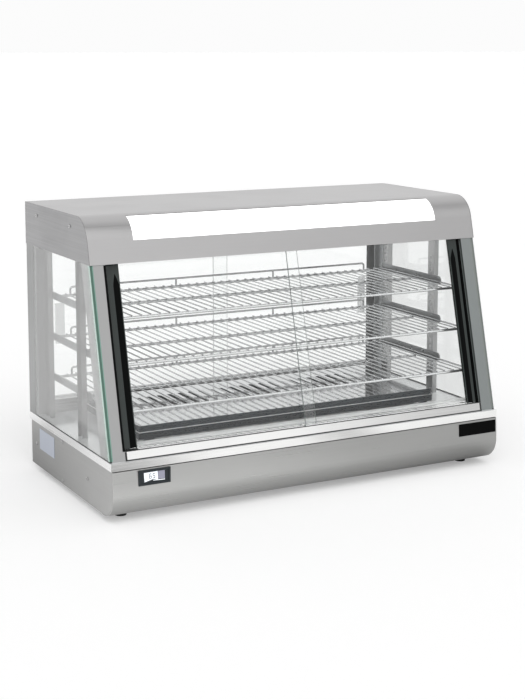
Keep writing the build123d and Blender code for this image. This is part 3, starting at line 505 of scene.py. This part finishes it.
# base: fascia, sides, rear panel, tray
fascia = {"tone": (0.450, 0.451, 0.443), "stretch": longGrain, "rough": (0.26, 0.38), "marks": 0.06}
dress(["front_fascia"], sheetMetal("fasciaSheet", fascia))
# the base's sides are a darker copy of the fascia's sheet: painted shade on the sides
shadedBaseSide = {"tone": (0.325, 0.324, 0.320), "stretch": deepGrain, "rough": (0.32, 0.44)}
dress(["base_side_left", "base_side_right"], sheetMetal("shadedBaseSideSheet", shadedBaseSide))
rearPanel = {"tone": (0.42, 0.42, 0.42), "stretch": longGrain, "rough": (0.30, 0.42)}
dress(["base_rear_panel", "base_tray"], sheetMetal("rearSheet", rearPanel))

# deck and heater
deck = {"tone": (0.90, 0.91, 0.915), "stretch": polishGrain, "rough": (0.10, 0.16), "metal": 0.40,
        "rimBack": -0.2255, "rimSide": 0.4555}
rim = {"tone": (0.90, 0.90, 0.89), "stretch": (6.0, 500.0, 500.0), "rough": (0.09, 0.14)}
sideRim = {"tone": (0.66, 0.66, 0.66), "stretch": (500.0, 6.0, 500.0), "rough": (0.22, 0.30)}
sideRimSheet = sheetMetal("sideRimSheet", sideRim)


def deckFinish(face):
    if abs(face.center.x) > deck["rimSide"]:
        return 2
    return 1 if face.center.y < deck["rimBack"] else 0


dress(["deck_plate"], sheetMetal("deckSheet", deck), sheetMetal("rimSheet", rim), sideRimSheet)
finishFaces(["deck_plate"], deckFinish)
heater = {"tone": (0.58, 0.585, 0.59), "stretch": polishGrain, "rough": (0.035, 0.07), "grain": 0.05,
          "topTurn": 0.9, "softEdge": 0.0004}
# faces of the cover that don't face up get a near-black copy of its steel: painted shade
shadedHeaterSide = {"tone": (0.013, 0.020, 0.025), "stretch": polishGrain, "rough": (0.26, 0.36), "metal": 0.7}
dress(["heater_cover"], sheetMetal("heaterSheet", heater), sheetMetal("shadedHeaterSideSheet", shadedHeaterSide))
finishFaces(["heater_cover"], lambda face: 0 if face.normal.z > heater["topTurn"] else 1)
soften("heater_cover", heater["softEdge"])
# rolled hem where the cover's upper half is stepped in, light grey as a painted highlight of that edge
hem = {"x": 0.355, "front": -0.1305, "back": 0.1505, "low": 0.150,
       "section": [(0.0, 0.0), (0.0, 0.0009), (0.0004, 0.0014), (0.0015, 0.0014), (0.0015, 0.0)]}
hemRings = []
for inset, rise in hem["section"]:
    corners = oblong(inset - hem["x"], hem["front"] + inset, hem["x"] - inset, hem["back"] - inset)
    hemRings.append([(x, y, hem["low"] + rise) for x, y in corners])
hemMesh = bmesh.new()
joinRows(hemMesh, hemRings, closed=True)
addPiece("heaterHemHighlight", hemMesh, [sideRimSheet], "cabinet")
rods = {"tone": (0.16, 0.15, 0.15), "stretch": (40.0, 40.0, 40.0), "rough": (0.45, 0.6), "edgeHighlight": 0.0}
dress(["heating_elements"], sheetMetal("rodSteel", rods))

# posts, pillars, uprights and brackets
standing = {"stretch": tallGrain, "rough": (0.28, 0.40)}
upright = {**standing, "tone": (0.42, 0.42, 0.42)}
shadedLeftUpright = {**standing, "tone": (0.20, 0.201, 0.20)}
uprights = pick("shelf_uprights*")
dress(uprights, sheetMetal("uprightSheet", upright), sheetMetal("shadedLeftUprightSheet", shadedLeftUpright))
# uprights on the left get a darker copy of the same sheet: painted shade
finishFaces(uprights, lambda face: 1 if face.center.x < 0 else 0)
post = {**standing, "tone": (0.41, 0.425, 0.43), "metal": 0.7, "outside": 0.4555}
# the left post and the posts' outer walls get darker copies of the post's sheet: painted shade
shadedLeftPost = {**standing, "tone": (0.27, 0.272, 0.27)}
shadedPostWall = {"tone": (0.215, 0.218, 0.217), "stretch": tallGrain, "rough": (0.30, 0.42)}
shadedPostWallSheet = sheetMetal("shadedPostWallSheet", shadedPostWall)
dress(["rear_post_right"], sheetMetal("postSheet", post), shadedPostWallSheet)
dress(["rear_post_left"], sheetMetal("shadedLeftPostSheet", shadedLeftPost), shadedPostWallSheet)
finishFaces(pick("rear_post*"), lambda face: 1 if abs(face.center.x) > post["outside"] else 0)
pillar = {**standing, "tone": (0.390, 0.391, 0.391)}
dress(["front_pillar_left"], sheetMetal("pillarSheet", pillar))
# the right pillar is a darker copy of the left one's sheet: painted shade
shadedPillarRight = {**standing, "tone": (0.30, 0.322, 0.320)}
dress(["front_pillar_right"], sheetMetal("shadedPillarRightSheet", shadedPillarRight))
bracket = {"tone": (0.27, 0.275, 0.28), "stretch": (60.0, 60.0, 60.0), "rough": (0.25, 0.38)}
dress(pick("shelf_brackets*"), sheetMetal("bracketSheet", bracket))

# tracks
track = {"tone": (0.55, 0.55, 0.55), "stretch": drawnGrain, "rough": (0.24, 0.34)}
dress(pick("*track*"), sheetMetal("trackAluminium", track))
# the rear lower track is a darker copy of the track aluminium: painted shade
shadedRearTrack = {**track, "tone": (0.36, 0.36, 0.36)}
dress(["rear_track_lower"], sheetMetal("shadedRearAluminium", shadedRearTrack))
sill = {"tone": (0.74, 0.74, 0.735), "stretch": drawnGrain, "rough": (0.10, 0.15)}
dress(["front_track_lower"], sheetMetal("sillAluminium", sill))
# black seal along the sill and up at its ends, a painted shadow of the gap where the sill meets the deck: y
# and z of its section, x and distance behind the front of its ends
shadowSeal = {"tone": (0.02, 0.021, 0.021), "rough": (0.45, 0.6), "reach": 0.423, "ends": (0.1280, 0.1428),
        "section": [(-0.2258, 0.126), (-0.2273, 0.126), (-0.2273, 0.1268), (-0.2268, 0.1277),
                    (-0.2258, 0.1280)],
        "endPlan": [(0.423, 0.0), (0.423, -0.0006), (0.4196, -0.0006), (0.4196, 0.0)]}
# brush in the front groove and a buffer closing its left end: distance behind the front, and z
brush = {"from": -0.4196, "to": 0.4196,
         "section": [(0.0038, 0.1429), (0.0010, 0.1429), (0.0012, 0.1435), (0.0036, 0.1435)]}
buffer = {"from": -0.4190, "to": -0.3915,
          "section": [(0.0158, 0.1430), (0.0040, 0.1430), (0.0043, 0.1435), (0.0155, 0.1435)]}
sealAndShadowRubber = mouldedPlastic("sealAndShadowRubber", shadowSeal)
sealMesh = bmesh.new()
runAcross(sealMesh, shadowSeal["section"], -shadowSeal["reach"], shadowSeal["reach"])
for sign in (-1, 1):
    runStraightUp(sealMesh, shadowSeal["endPlan"], shadowSeal["ends"], sign)
for filler in (brush, buffer):
    low = filler["section"][0][1]
    fillerSection = [(leanAt(low, offset), z) for offset, z in filler["section"]]
    runAcross(sealMesh, fillerSection, filler["from"], filler["to"])
addPiece("sillShadowSealAndBrush", sealMesh, [sealAndShadowRubber], "cabinet")
# ledge behind the sill, with a drain groove along it: its front leans, the rest is given as y and z
ledge = {"tone": (0.78, 0.785, 0.78), "stretch": drawnGrain, "rough": (0.30, 0.40), "metal": 0.15,
         "reach": 0.4205, "front": [(0.0282, 0.126), (0.0282, 0.1420), (0.0290, 0.1428)],
         "rest": [(-0.1831, 0.1428), (-0.18253, 0.1402), (-0.17987, 0.1402), (-0.1793, 0.1428),
                  (-0.1618, 0.1428), (-0.1610, 0.1420), (-0.1610, 0.126)]}
ledgeSection = [(leanAt(z, offset), z) for offset, z in ledge["front"]] + ledge["rest"]
ledgeMesh = bmesh.new()
runAcross(ledgeMesh, ledgeSection, -ledge["reach"], ledge["reach"])
addPiece("trackLedge", ledgeMesh, [sheetMetal("ledgeAluminium", ledge)], "cabinet")

# door profiles: a face and a thumb groove, pointed at its top, wrapped round the edge of each front pane; the
# groove's black is painted shade
profile = {"low": 0.1438, "grooveTop": 0.456, "groovePoint": 0.476, "high": 0.4978, "point": 0.4020,
           "pointStep": 0.0004, "face": 0.0020, "grooveSide": 0.4080,
           "glass": {"left": 0.018, "right": 0.008}, "wider": {"left": 0.0020, "right": 0.0}}
# the black and the grey are painted shade and a painted sheen on the profile's one dark plastic
profileLooks = {
    "profileFace": {"tone": (0.025, 0.033, 0.031), "rough": (0.18, 0.26), "shine": 0.4, "bump": 0.02},
    "profileShadeBlack": {"tone": (0.0015, 0.002, 0.002), "rough": (0.25, 0.35), "shine": 0.06, "bump": 0.02},
    "profileSheenGrey": {"tone": (0.125, 0.140, 0.137), "rough": (0.25, 0.35), "shine": 0.3, "bump": 0.02}}
profileFinishes = [mouldedPlastic(name, look) for name, look in profileLooks.items()]
# x, distance ahead of the pane, finish of the side that starts there
profileEdge = [(0.3920, 0.0012, 0), (0.3926, 0.0020, 0)]
profileGroove = [(0.3944, 0.0020, 1), (0.3952, 0.0006, 1), (0.4010, 0.0003, 1), (0.4062, 0.0008, 1),
                 (0.4070, 0.0020, 0)]
profileLine = {"left": [], "right": [(0.4138, 0.0020, 1), (0.4144, 0.0004, 1), (0.4172, 0.0004, 1),
                                     (0.4178, 0.0020, 1)]}
profileRest = [
    (0.4218, 0.0020, 2), (0.4374, 0.0020, 2), (0.4380, 0.0014, 0), (0.4380, -0.0054, 0), (0.4374, -0.0060, 0),
    (0.3926, -0.0060, 0), (0.3920, -0.0054, 0), (0.3920, -0.0040, 1), (0.4360, -0.0040, 1), (0.4360, 0.0, 1),
    (0.3920, 0.0, 0)]
closedGroove = [(profile["point"] + profile["pointStep"] * (i - len(profileGroove) // 2), profile["face"], 0)
                for i in range(len(profileGroove))]
for side, sign in (("left", -1), ("right", 1)):
    profileOpen = profileEdge + profileGroove + profileLine[side] + profileRest
    profileShut = profileEdge + closedGroove + profileLine[side] + profileRest
    profilePlans = []
    for z, section in ((profile["low"], profileOpen), (profile["grooveTop"], profileOpen),
                       (profile["groovePoint"], profileShut), (profile["high"], profileShut)):
        plan = []
        for x, ahead, finish in section:
            wider = profile["wider"][side] if x < profile["grooveSide"] else 0.0
            plan.append((sign * (x - wider), profile["glass"][side] - ahead))
        profilePlans.append((z, plan))
    profileMesh = bmesh.new()
    runUpFront(profileMesh, profilePlans, [[part[2] for part in section]
                                           for section in (profileOpen, profileOpen, profileShut)])
    profilePiece = addPiece(side + "DoorProfile", profileMesh, profileFinishes, "front_" + side + "_door")
    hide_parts("front_door_" + side + "_profile")
# black strip folded round the inner edge of the left pillar: a painted shadow of the gap between pillar and
# profile
pillarShadow = {"heights": (0.1440, 0.4972), "plan": [
    (-0.4277, 0.0), (-0.4277, -0.0004), (-0.4274, -0.0006), (-0.4234, -0.0006), (-0.4231, -0.0003),
    (-0.4231, 0.0046), (-0.4235, 0.0046), (-0.4235, 0.0)]}
pillarShadowMesh = bmesh.new()
runStraightUp(pillarShadowMesh, pillarShadow["plan"], pillarShadow["heights"])
addPiece("leftPillarShadowStrip", pillarShadowMesh, [profileFinishes[1]], "cabinet")
print("tracks and door profiles made")

# wire shelves: brighter along the front rail, a painted highlight
wire = {"tone": (0.53, 0.535, 0.54), "stretch": (30.0, 30.0, 30.0), "rough": (0.10, 0.18), "edgeHighlight": 0.0}
wireChrome = sheetMetal("wireChrome", wire)
dress(pick("*_shelf_fence"), wireChrome)
rail = {**wire, "tone": (0.68, 0.685, 0.69), "rough": (0.16, 0.24), "deep": 0.0075}
railHighlightChrome = sheetMetal("railHighlightChrome", rail)
for shelfName in pick("*_shelf"):
    dress([shelfName], wireChrome, railHighlightChrome)
    railBack = min(vert.co.y for vert in nodes[shelfName].data.vertices) + rail["deep"]
    finishFaces([shelfName], lambda face: 1 if face.center.y < railBack else 0)

# glass: clear faces with polished edges, green on the front of the left side pane
doorGlass = {"tone": (0.985, 0.992, 0.99), "cast": (0.985, 0.995, 0.99), "marks": 0.01, "shine": 0.25,
             "ior": 1.40}
doorPane = clearPane("doorPane", doorGlass)
sideGlass = {"tone": (0.86, 0.868, 0.865), "cast": (0.96, 0.98, 0.97), "marks": 0.01, "shine": 0.10,
             "rimTint": (0.76, 0.86, 0.82), "rimReach": 0.03, "airGap": 0.0002}
sidePane = clearPane("sidePane", sideGlass)
paneEdge = {"rough": (0.10, 0.20), "coat": 0.5, "bump": 0.01, "flat": 0.9, "ahead": -0.5, "tones": {
    "greenEdge": (0.045, 0.125, 0.09), "greyEdge": (0.15, 0.17, 0.16), "doorEdge": (0.26, 0.29, 0.28),
    "paleEdge": (0.46, 0.48, 0.475)}}
edgeFinish = {}
for edgeName, tone in paneEdge["tones"].items():
    edgeFinish[edgeName] = mouldedPlastic(edgeName, {**paneEdge, "tone": tone})
# finishes of the faces and of the front and other edges
paneFinishes = {"side_glass_left": (sidePane, "greenEdge", "paleEdge"),
                "side_glass_right": (sidePane, "greyEdge", "paleEdge"),
                "front_door_left_glass": (doorPane, "doorEdge", "doorEdge"),
                "front_door_right_glass": (doorPane, "doorEdge", "doorEdge"),
                "rear_door_left_glass": (doorPane, "doorEdge", "paleEdge"),
                "rear_door_right_glass": (doorPane, "doorEdge", "paleEdge")}
for paneName, (clear, ahead, behind) in paneFinishes.items():
    dress([paneName], clear, edgeFinish[ahead], edgeFinish[behind])
    paneMesh = nodes[paneName].data
    widest = max(paneMesh.polygons, key=lambda face: face.area).normal.copy()
    for face in paneMesh.polygons:
        edgeIndex = 1 if face.normal.y < paneEdge["ahead"] else 2
        face.material_index = 0 if abs(face.normal.dot(widest)) > paneEdge["flat"] else edgeIndex
    if clear is sidePane:
        weldSeams(nodes[paneName])
        shrink = nodes[paneName].modifiers.new("airGap", "DISPLACE")
        shrink.strength = -sideGlass["airGap"]
        shrink.mid_level = 0.0
# beads of sealant where the side panes meet the pillars, and a painted highlight beside their front edges
bead = {"rough": (0.15, 0.25), "coat": 0.4, "bump": 0.01, "heights": (0.1285, 0.4980),
        "tones": {"left": (0.20, 0.36, 0.30), "right": (0.24, 0.26, 0.25)},
        "plan": [(0.4494, 0.0), (0.4498, -0.0007), (0.4513, -0.0007), (0.4517, 0.0)]}
paneGlint = {"tone": (0.46, 0.64, 0.57), "rough": (0.12, 0.20), "coat": 0.5, "bump": 0.01,
         "plan": [(0.4563, 0.0), (0.4568, 0.0002), (0.4569, 0.0008), (0.4569, 0.0056), (0.4563, 0.0062)]}
paneGlintFinish = {"left": mouldedPlastic("mintGlint", paneGlint), "right": edgeFinish["paleEdge"]}
for side, sign in (("left", -1), ("right", 1)):
    beadFinish = mouldedPlastic(side + "Bead", {**bead, "tone": bead["tones"][side]})
    beadMesh = bmesh.new()
    runStraightUp(beadMesh, bead["plan"], bead["heights"], sign)
    addPiece(side + "PaneBead", beadMesh, [beadFinish], "cabinet")
    paneGlintMesh = bmesh.new()
    runStraightUp(paneGlintMesh, paneGlint["plan"], bead["heights"], sign)
    addPiece(side + "PaneGlint", paneGlintMesh, [paneGlintFinish[side]], "cabinet")
print("glass made")

# lamp, light panel and clear covers
lampGlass = {"tone": (0.95, 0.95, 0.93), "rough": (0.3, 0.4), "glow": 0.9}
dress(["lamp_tube"], mouldedPlastic("tubeWhite", lampGlass))
# the black seal over the panel, a painted shadow of the gap at its upper edge: degrees past the top and
# distance from the middle of the hood's bend
panel = {"tone": (1.0, 1.0, 1.0), "rough": (0.25, 0.35), "glow": 0.85, "middle": (-0.0703, 0.533),
         "reach": 0.3598, "shadowSeal": [(17.2, 0.0559), (17.2, 0.0566), (19.1, 0.0564), (19.1, 0.0559)]}
dress(["light_panel"], mouldedPlastic("panelWhite", panel))
gapSection = []
for turn, distance in panel["shadowSeal"]:
    angle = math.radians(90 + turn)
    gapSection.append((panel["middle"][0] + distance * math.cos(angle),
                       panel["middle"][1] + distance * math.sin(angle)))
gapMesh = bmesh.new()
runAcross(gapMesh, gapSection, -panel["reach"], panel["reach"])
addPiece("panelShadowSeal", gapMesh, [sealAndShadowRubber], "cabinet")
lampCover = {"tone": (0.96, 0.97, 0.97), "rough": 0.03, "ior": 1.49}
dress(["lamp_cover"], clearPane("coverClear", lampCover))
pull = {"tone": (0.84, 0.87, 0.87), "rough": (0.16, 0.24), "alpha": 0.34, "coat": 0.4, "bump": 0.02}
dress(pick("*_pull"), mouldedPlastic("pullClear", pull))

# plastics, rubber, plates
plastics = {
    "whitePlastic": {"on": ["terminal_block", "lamp_holders"], "tone": (0.80, 0.80, 0.78),
                     "rough": (0.35, 0.5)},
    "blackPlastic": {"on": ["thermostat_body", "thermostat_knob", "switch_frames", "cable_gland"],
                     "tone": (0.020, 0.020, 0.021), "rough": (0.38, 0.52)},
    "glossBlack": {"on": ["light_switch_rocker"], "tone": (0.010, 0.012, 0.012), "rough": (0.14, 0.22),
                   "bump": 0.01},
    "bezelGrey": {"on": ["thermometer_case", "thermometer_lens"], "tone": (0.014, 0.020, 0.024),
                  "rough": (0.24, 0.34), "shine": 0.35, "bump": 0.02},
    "badgeBlack": {"on": ["name_plate"], "tone": (0.002, 0.002, 0.002), "rough": (0.25, 0.35), "shine": 0.05,
                   "bump": 0.01},
    "amberLens": {"on": ["indicator_lamp"], "tone": (0.75, 0.25, 0.02), "rough": (0.15, 0.2), "glow": 0.25,
                  "bump": 0.02},
    "greenRocker": {"on": ["power_switch_rocker"], "tone": (0.03, 0.35, 0.08), "rough": (0.2, 0.3),
                    "glow": 0.15, "bump": 0.02},
    "ratingPlate": {"on": ["rating_plate"], "tone": (0.52, 0.56, 0.65), "rough": (0.30, 0.40), "bump": 0.02},
    "footRubber": {"on": ["rubber_feet", "side_gaskets"], "tone": (0.014, 0.014, 0.015), "rough": (0.55, 0.7),
                   "pebble": 500.0}}
for plasticName, look in plastics.items():
    dress(look["on"], mouldedPlastic(plasticName, look))
softParts = {"thermostat_knob": 0.0003, "switch_frames": 0.0003, "name_plate": 0.0003,
             "thermometer_case": 0.0004, "light_switch_rocker": 0.0004, "power_switch_rocker": 0.0004}
for partName, width in softParts.items():
    soften(partName, width)
print("small parts dressed")

# thermometer display: a lit field, a dimmer field and two plain digits on the lens
display = {
    "face": -0.2387, "thick": 0.00022, "digits": "65", "digitLeft": -0.3800, "digitLow": 0.0885,
    "digitTall": 0.0100, "digitWide": 0.0050, "digitPitch": 0.0075, "digitDepths": (-0.23914, -0.238876),
    "field": [(-0.3912, 0.1012), (-0.3620, 0.1018), (-0.3612, 0.0846), (-0.3720, 0.0868), (-0.3900, 0.0824)],
    "dim": [(-0.3610, 0.1018), (-0.3470, 0.1018), (-0.3466, 0.0852), (-0.3608, 0.0860)],
    "bar": [(-0.3716, 0.0852), (-0.3466, 0.0842), (-0.3466, 0.0826), (-0.3714, 0.0838)]}
displayLooks = {
    "litField": {"tone": (0.90, 0.94, 0.98), "rough": (0.2, 0.3), "glow": 0.30, "bump": 0.01},
    "dimField": {"tone": (0.30, 0.30, 0.38), "rough": (0.2, 0.3), "glow": 0.15, "bump": 0.01},
    "digitInk": {"tone": (0.14, 0.15, 0.17), "rough": (0.3, 0.4), "bump": 0.01}}
displayFinish = {name: mouldedPlastic(name, look) for name, look in displayLooks.items()}
displayFields = {"displayField": ("field", "litField"), "displayDimField": ("dim", "dimField"),
                 "displayBar": ("bar", "litField")}
for fieldName, (outline, finish) in displayFields.items():
    fieldMesh = bmesh.new()
    addPlate(fieldMesh, display[outline], (display["face"], display["face"] - display["thick"]))
    addPiece(fieldName, fieldMesh, [displayFinish[finish]], "cabinet")
# bars of a digit: left and low corner, width and height, in parts of the digit
digitBars = {"top": (0.1, 0.88, 0.8, 0.12), "middle": (0.1, 0.44, 0.8, 0.12), "base": (0.1, 0.0, 0.8, 0.12),
             "upLeft": (0.0, 0.52, 0.2, 0.42), "lowLeft": (0.0, 0.06, 0.2, 0.42),
             "lowRight": (0.8, 0.06, 0.2, 0.42)}
digitShapes = {"6": ("top", "middle", "base", "upLeft", "lowLeft", "lowRight"),
               "5": ("top", "middle", "base", "upLeft", "lowRight")}
digitMesh = bmesh.new()
for place, digit in enumerate(display["digits"]):
    for barName in digitShapes[digit]:
        barX, barZ, barWide, barTall = digitBars[barName]
        left = display["digitLeft"] + place * display["digitPitch"] + barX * display["digitWide"]
        low = display["digitLow"] + barZ * display["digitTall"]
        right = left + barWide * display["digitWide"]
        high = low + barTall * display["digitTall"]
        addPlate(digitMesh, oblong(left, low, right, high), display["digitDepths"])
addPiece("displayDigits", digitMesh, [displayFinish["digitInk"]], "cabinet")
print("display made")

# case screws: round heads with a cross recess, the dome in parts of the head's radius and height
screw = {"radius": 0.0035, "tall": 0.0020, "shank": 0.0020, "length": 0.0080, "recess": 0.0008,
         "armLong": 0.0017, "armHalf": 0.00045, "armTaper": 0.9, "steps": 24, "turnStep": 37,
         "dome": [(1.0, 0.4), (0.95, 0.68), (0.83, 0.90), (0.66, 1.0)]}
screwLook = {"tone": (0.40, 0.40, 0.40), "stretch": (300.0, 300.0, 300.0), "rough": (0.22, 0.32)}
screwSteel = sheetMetal("screwSteel", screwLook)
# the cross recess gets a near-black copy of the screw steel: painted shade
recessShadeLook = {"tone": (0.05, 0.05, 0.05), "stretch": (300.0, 300.0, 300.0), "rough": (0.4, 0.5), "edgeHighlight": 0.0}
recessShadeSteel = sheetMetal("recessShadeSteel", recessShadeLook)
dress(["thermostat_shaft"], screwSteel)


def screwTemplate():
    mesh = bmesh.new()
    outline = [(screw["shank"], -screw["length"]), (screw["shank"], 0.0), (screw["radius"], 0.0)]
    outline += [(screw["radius"] * out, screw["tall"] * up) for out, up in screw["dome"]]
    rings = joinRows(mesh, [[(radius * x, radius * y, z) for x, y in circle(screw["steps"])]
                            for radius, z in outline])
    mesh.faces.new(list(reversed(rings[0])))
    far, half, taper = screw["armLong"], screw["armHalf"], screw["armTaper"]
    cross = [(far, -half), (far, half), (half, half), (half, far), (-half, far), (-half, half), (-far, half),
             (-far, -half), (-half, -half), (-half, -far), (half, -far), (half, -half)]
    upper = [mesh.verts.new((x, y, screw["tall"])) for x, y in cross]
    lower = [mesh.verts.new((x * taper, y * taper, screw["tall"] - screw["recess"])) for x, y in cross]
    edges = []
    for ring in (rings[-1], upper):
        for i, vert in enumerate(ring):
            other = ring[(i + 1) % len(ring)]
            edges.append(mesh.edges.get((vert, other)) or mesh.edges.new((vert, other)))
    bmesh.ops.triangle_fill(mesh, edges=edges, use_beauty=True)
    for i in range(len(cross)):
        j = (i + 1) % len(cross)
        mesh.faces.new((upper[i], upper[j], lower[j], lower[i])).material_index = 1
    mesh.faces.new(lower).material_index = 1
    return closeMesh("screwTemplate", mesh)


def addScrews(name, places, replaced=None):
    template = screwTemplate()
    mesh = bmesh.new()
    for index, (point, turn) in enumerate(places):
        data = template.copy()
        spin = turned(index * screw["turnStep"] % 90, "Z")
        data.transform(Matrix.Translation(point) @ turn @ spin)
        mesh.from_mesh(data)
        bpy.data.meshes.remove(data)
    bpy.data.meshes.remove(template)
    piece = addPiece(name, mesh, [screwSteel, recessShadeSteel], "cabinet")
    if replaced:
        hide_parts(replaced)


# y and z of the screws on each side, by how far out they sit
sideScrews = {0.4555: ((0.039, 0.1035), (0.039, 0.021), (-0.103, 0.0625), (0.200, 0.0625)),
              0.4575: ((0.166, 0.5665), (-0.032, 0.565))}
footScrews = {"x": 0.4105, "y": (-0.165, 0.178), "z": 0.009}
caseScrews = []
for sign in (-1, 1):
    for x, points in sideScrews.items():
        caseScrews += [((sign * x, y, z), turned(90 * sign, "Y")) for y, z in points]
    caseScrews += [((sign * footScrews["x"], y, footScrews["z"]), turned(180, "X")) for y in footScrews["y"]]
addScrews("crossScrews", caseScrews, "case_screws")
panelScrews = {"y": 0.213, "x": (-0.440, -0.060, 0.060, 0.440), "z": (0.026, 0.100)}
rearScrews = [((x, panelScrews["y"], z), turned(-90, "X"))
              for x in panelScrews["x"] for z in panelScrews["z"]]
addScrews("rearPanelScrews", rearScrews)
print("screws made")

# dial: a pointer on the knob, marks and numbers round it
dial = {"x": -0.300, "z": 0.068, "panel": 0.213, "grip": 0.230, "inner": 0.0235, "outer": 0.0265,
        "numbers": 0.0305, "marks": 10, "sweep": 270.0, "step": 10, "tickHalf": 0.0004, "thick": 0.0002,
        "size": 0.0058, "pointerDepths": (-0.0001, 0.0002),
        "pointer": [(-0.0006, 0.004), (0.0006, 0.004), (0.0006, 0.0155), (0.0, 0.0165), (-0.0006, 0.0155)]}
whiteMark = {"tone": (0.82, 0.82, 0.80), "rough": (0.4, 0.5), "bump": 0.01}
whiteInk = mouldedPlastic("whiteInk", whiteMark)
darkMark = {**whiteMark, "tone": (0.03, 0.03, 0.032)}
pointerMesh = bmesh.new()
addPlate(pointerMesh, dial["pointer"], dial["pointerDepths"],
         Matrix.Translation((dial["x"], dial["grip"], dial["z"])))
addPiece("knobPointer", pointerMesh, [whiteInk], "thermostat_dial")


def addNumber(mesh, words, place):
    letters = bpy.data.curves.new("letters", "FONT")
    letters.body = words
    letters.size = dial["size"]
    letters.extrude = dial["thick"] / 2
    letters.align_x = "CENTER"
    letters.align_y = "CENTER"
    holder = addObject("letters", letters)
    bpy.context.view_layer.update()
    data = bpy.data.meshes.new_from_object(holder.evaluated_get(bpy.context.evaluated_depsgraph_get()))
    data.transform(place)
    mesh.from_mesh(data)
    bpy.data.meshes.remove(data)
    bpy.data.objects.remove(holder)
    bpy.data.curves.remove(letters)


dialMesh = bmesh.new()
dialCentre = Matrix.Translation((dial["x"], dial["panel"] + dial["thick"] / 2, dial["z"]))
facingBack = turned(180, "Z") @ turned(90, "X")
tick = oblong(-dial["tickHalf"], dial["inner"], dial["tickHalf"], dial["outer"])
for mark in range(dial["marks"]):
    spin = dialCentre @ turned(-dial["sweep"] * mark / (dial["marks"] - 1), "Y")
    addPlate(dialMesh, tick, (-dial["thick"] / 2, dial["thick"] / 2), spin)
    middle = spin @ Vector((0.0, 0.0, dial["numbers"]))
    addNumber(dialMesh, str(mark * dial["step"]), Matrix.Translation(middle) @ facingBack)
addPiece("dialMarks", dialMesh, [mouldedPlastic("darkInk", darkMark)], "cabinet")

# rocker marks: a bar and a ring on each key
rocker = {"pivot": (0.212, 0.068), "tilt": -9.0, "keys": {"power_rocker": -0.205, "light_rocker": -0.165},
          "run": 0.0102, "rise": 0.0015, "dip": 0.0030, "along": 0.0056, "ring": 0.0018, "barHalf": 0.0018,
          "line": 0.0005, "depths": (-0.0001, 0.00015), "steps": 24}
keySlope = math.degrees(math.atan2(rocker["rise"], rocker["run"]))
keyLift = rocker["dip"] + rocker["rise"] * rocker["along"] / rocker["run"]
keyBar = oblong(-rocker["line"] / 2, -rocker["barHalf"], rocker["line"] / 2, rocker["barHalf"])
ringUnder, ringOver = rocker["depths"]
ringSection = oblong(rocker["ring"], ringUnder, rocker["ring"] - rocker["line"], ringOver)
ringPoints = circle(rocker["steps"])
for body, x in rocker["keys"].items():
    keyPlace = Matrix.Translation((x, *rocker["pivot"])) @ turned(rocker["tilt"], "X")
    upper = keyPlace @ Matrix.Translation((0.0, keyLift, rocker["along"])) @ turned(-keySlope, "X")
    lower = keyPlace @ Matrix.Translation((0.0, keyLift, -rocker["along"])) @ turned(keySlope, "X")
    rockerMesh = bmesh.new()
    addPlate(rockerMesh, keyBar, rocker["depths"], upper)
    ringRows = [[lower @ Vector((radius * across, y, radius * up)) for across, up in ringPoints]
                for radius, y in ringSection]
    joinRows(rockerMesh, ringRows, closed=True)
    addPiece(body + "Marks", rockerMesh, [whiteInk], body)
print("dial and switch marks made")

bare = [name for name in nodes if not nodes[name].data.materials]
print("nodes without a material:", bare)
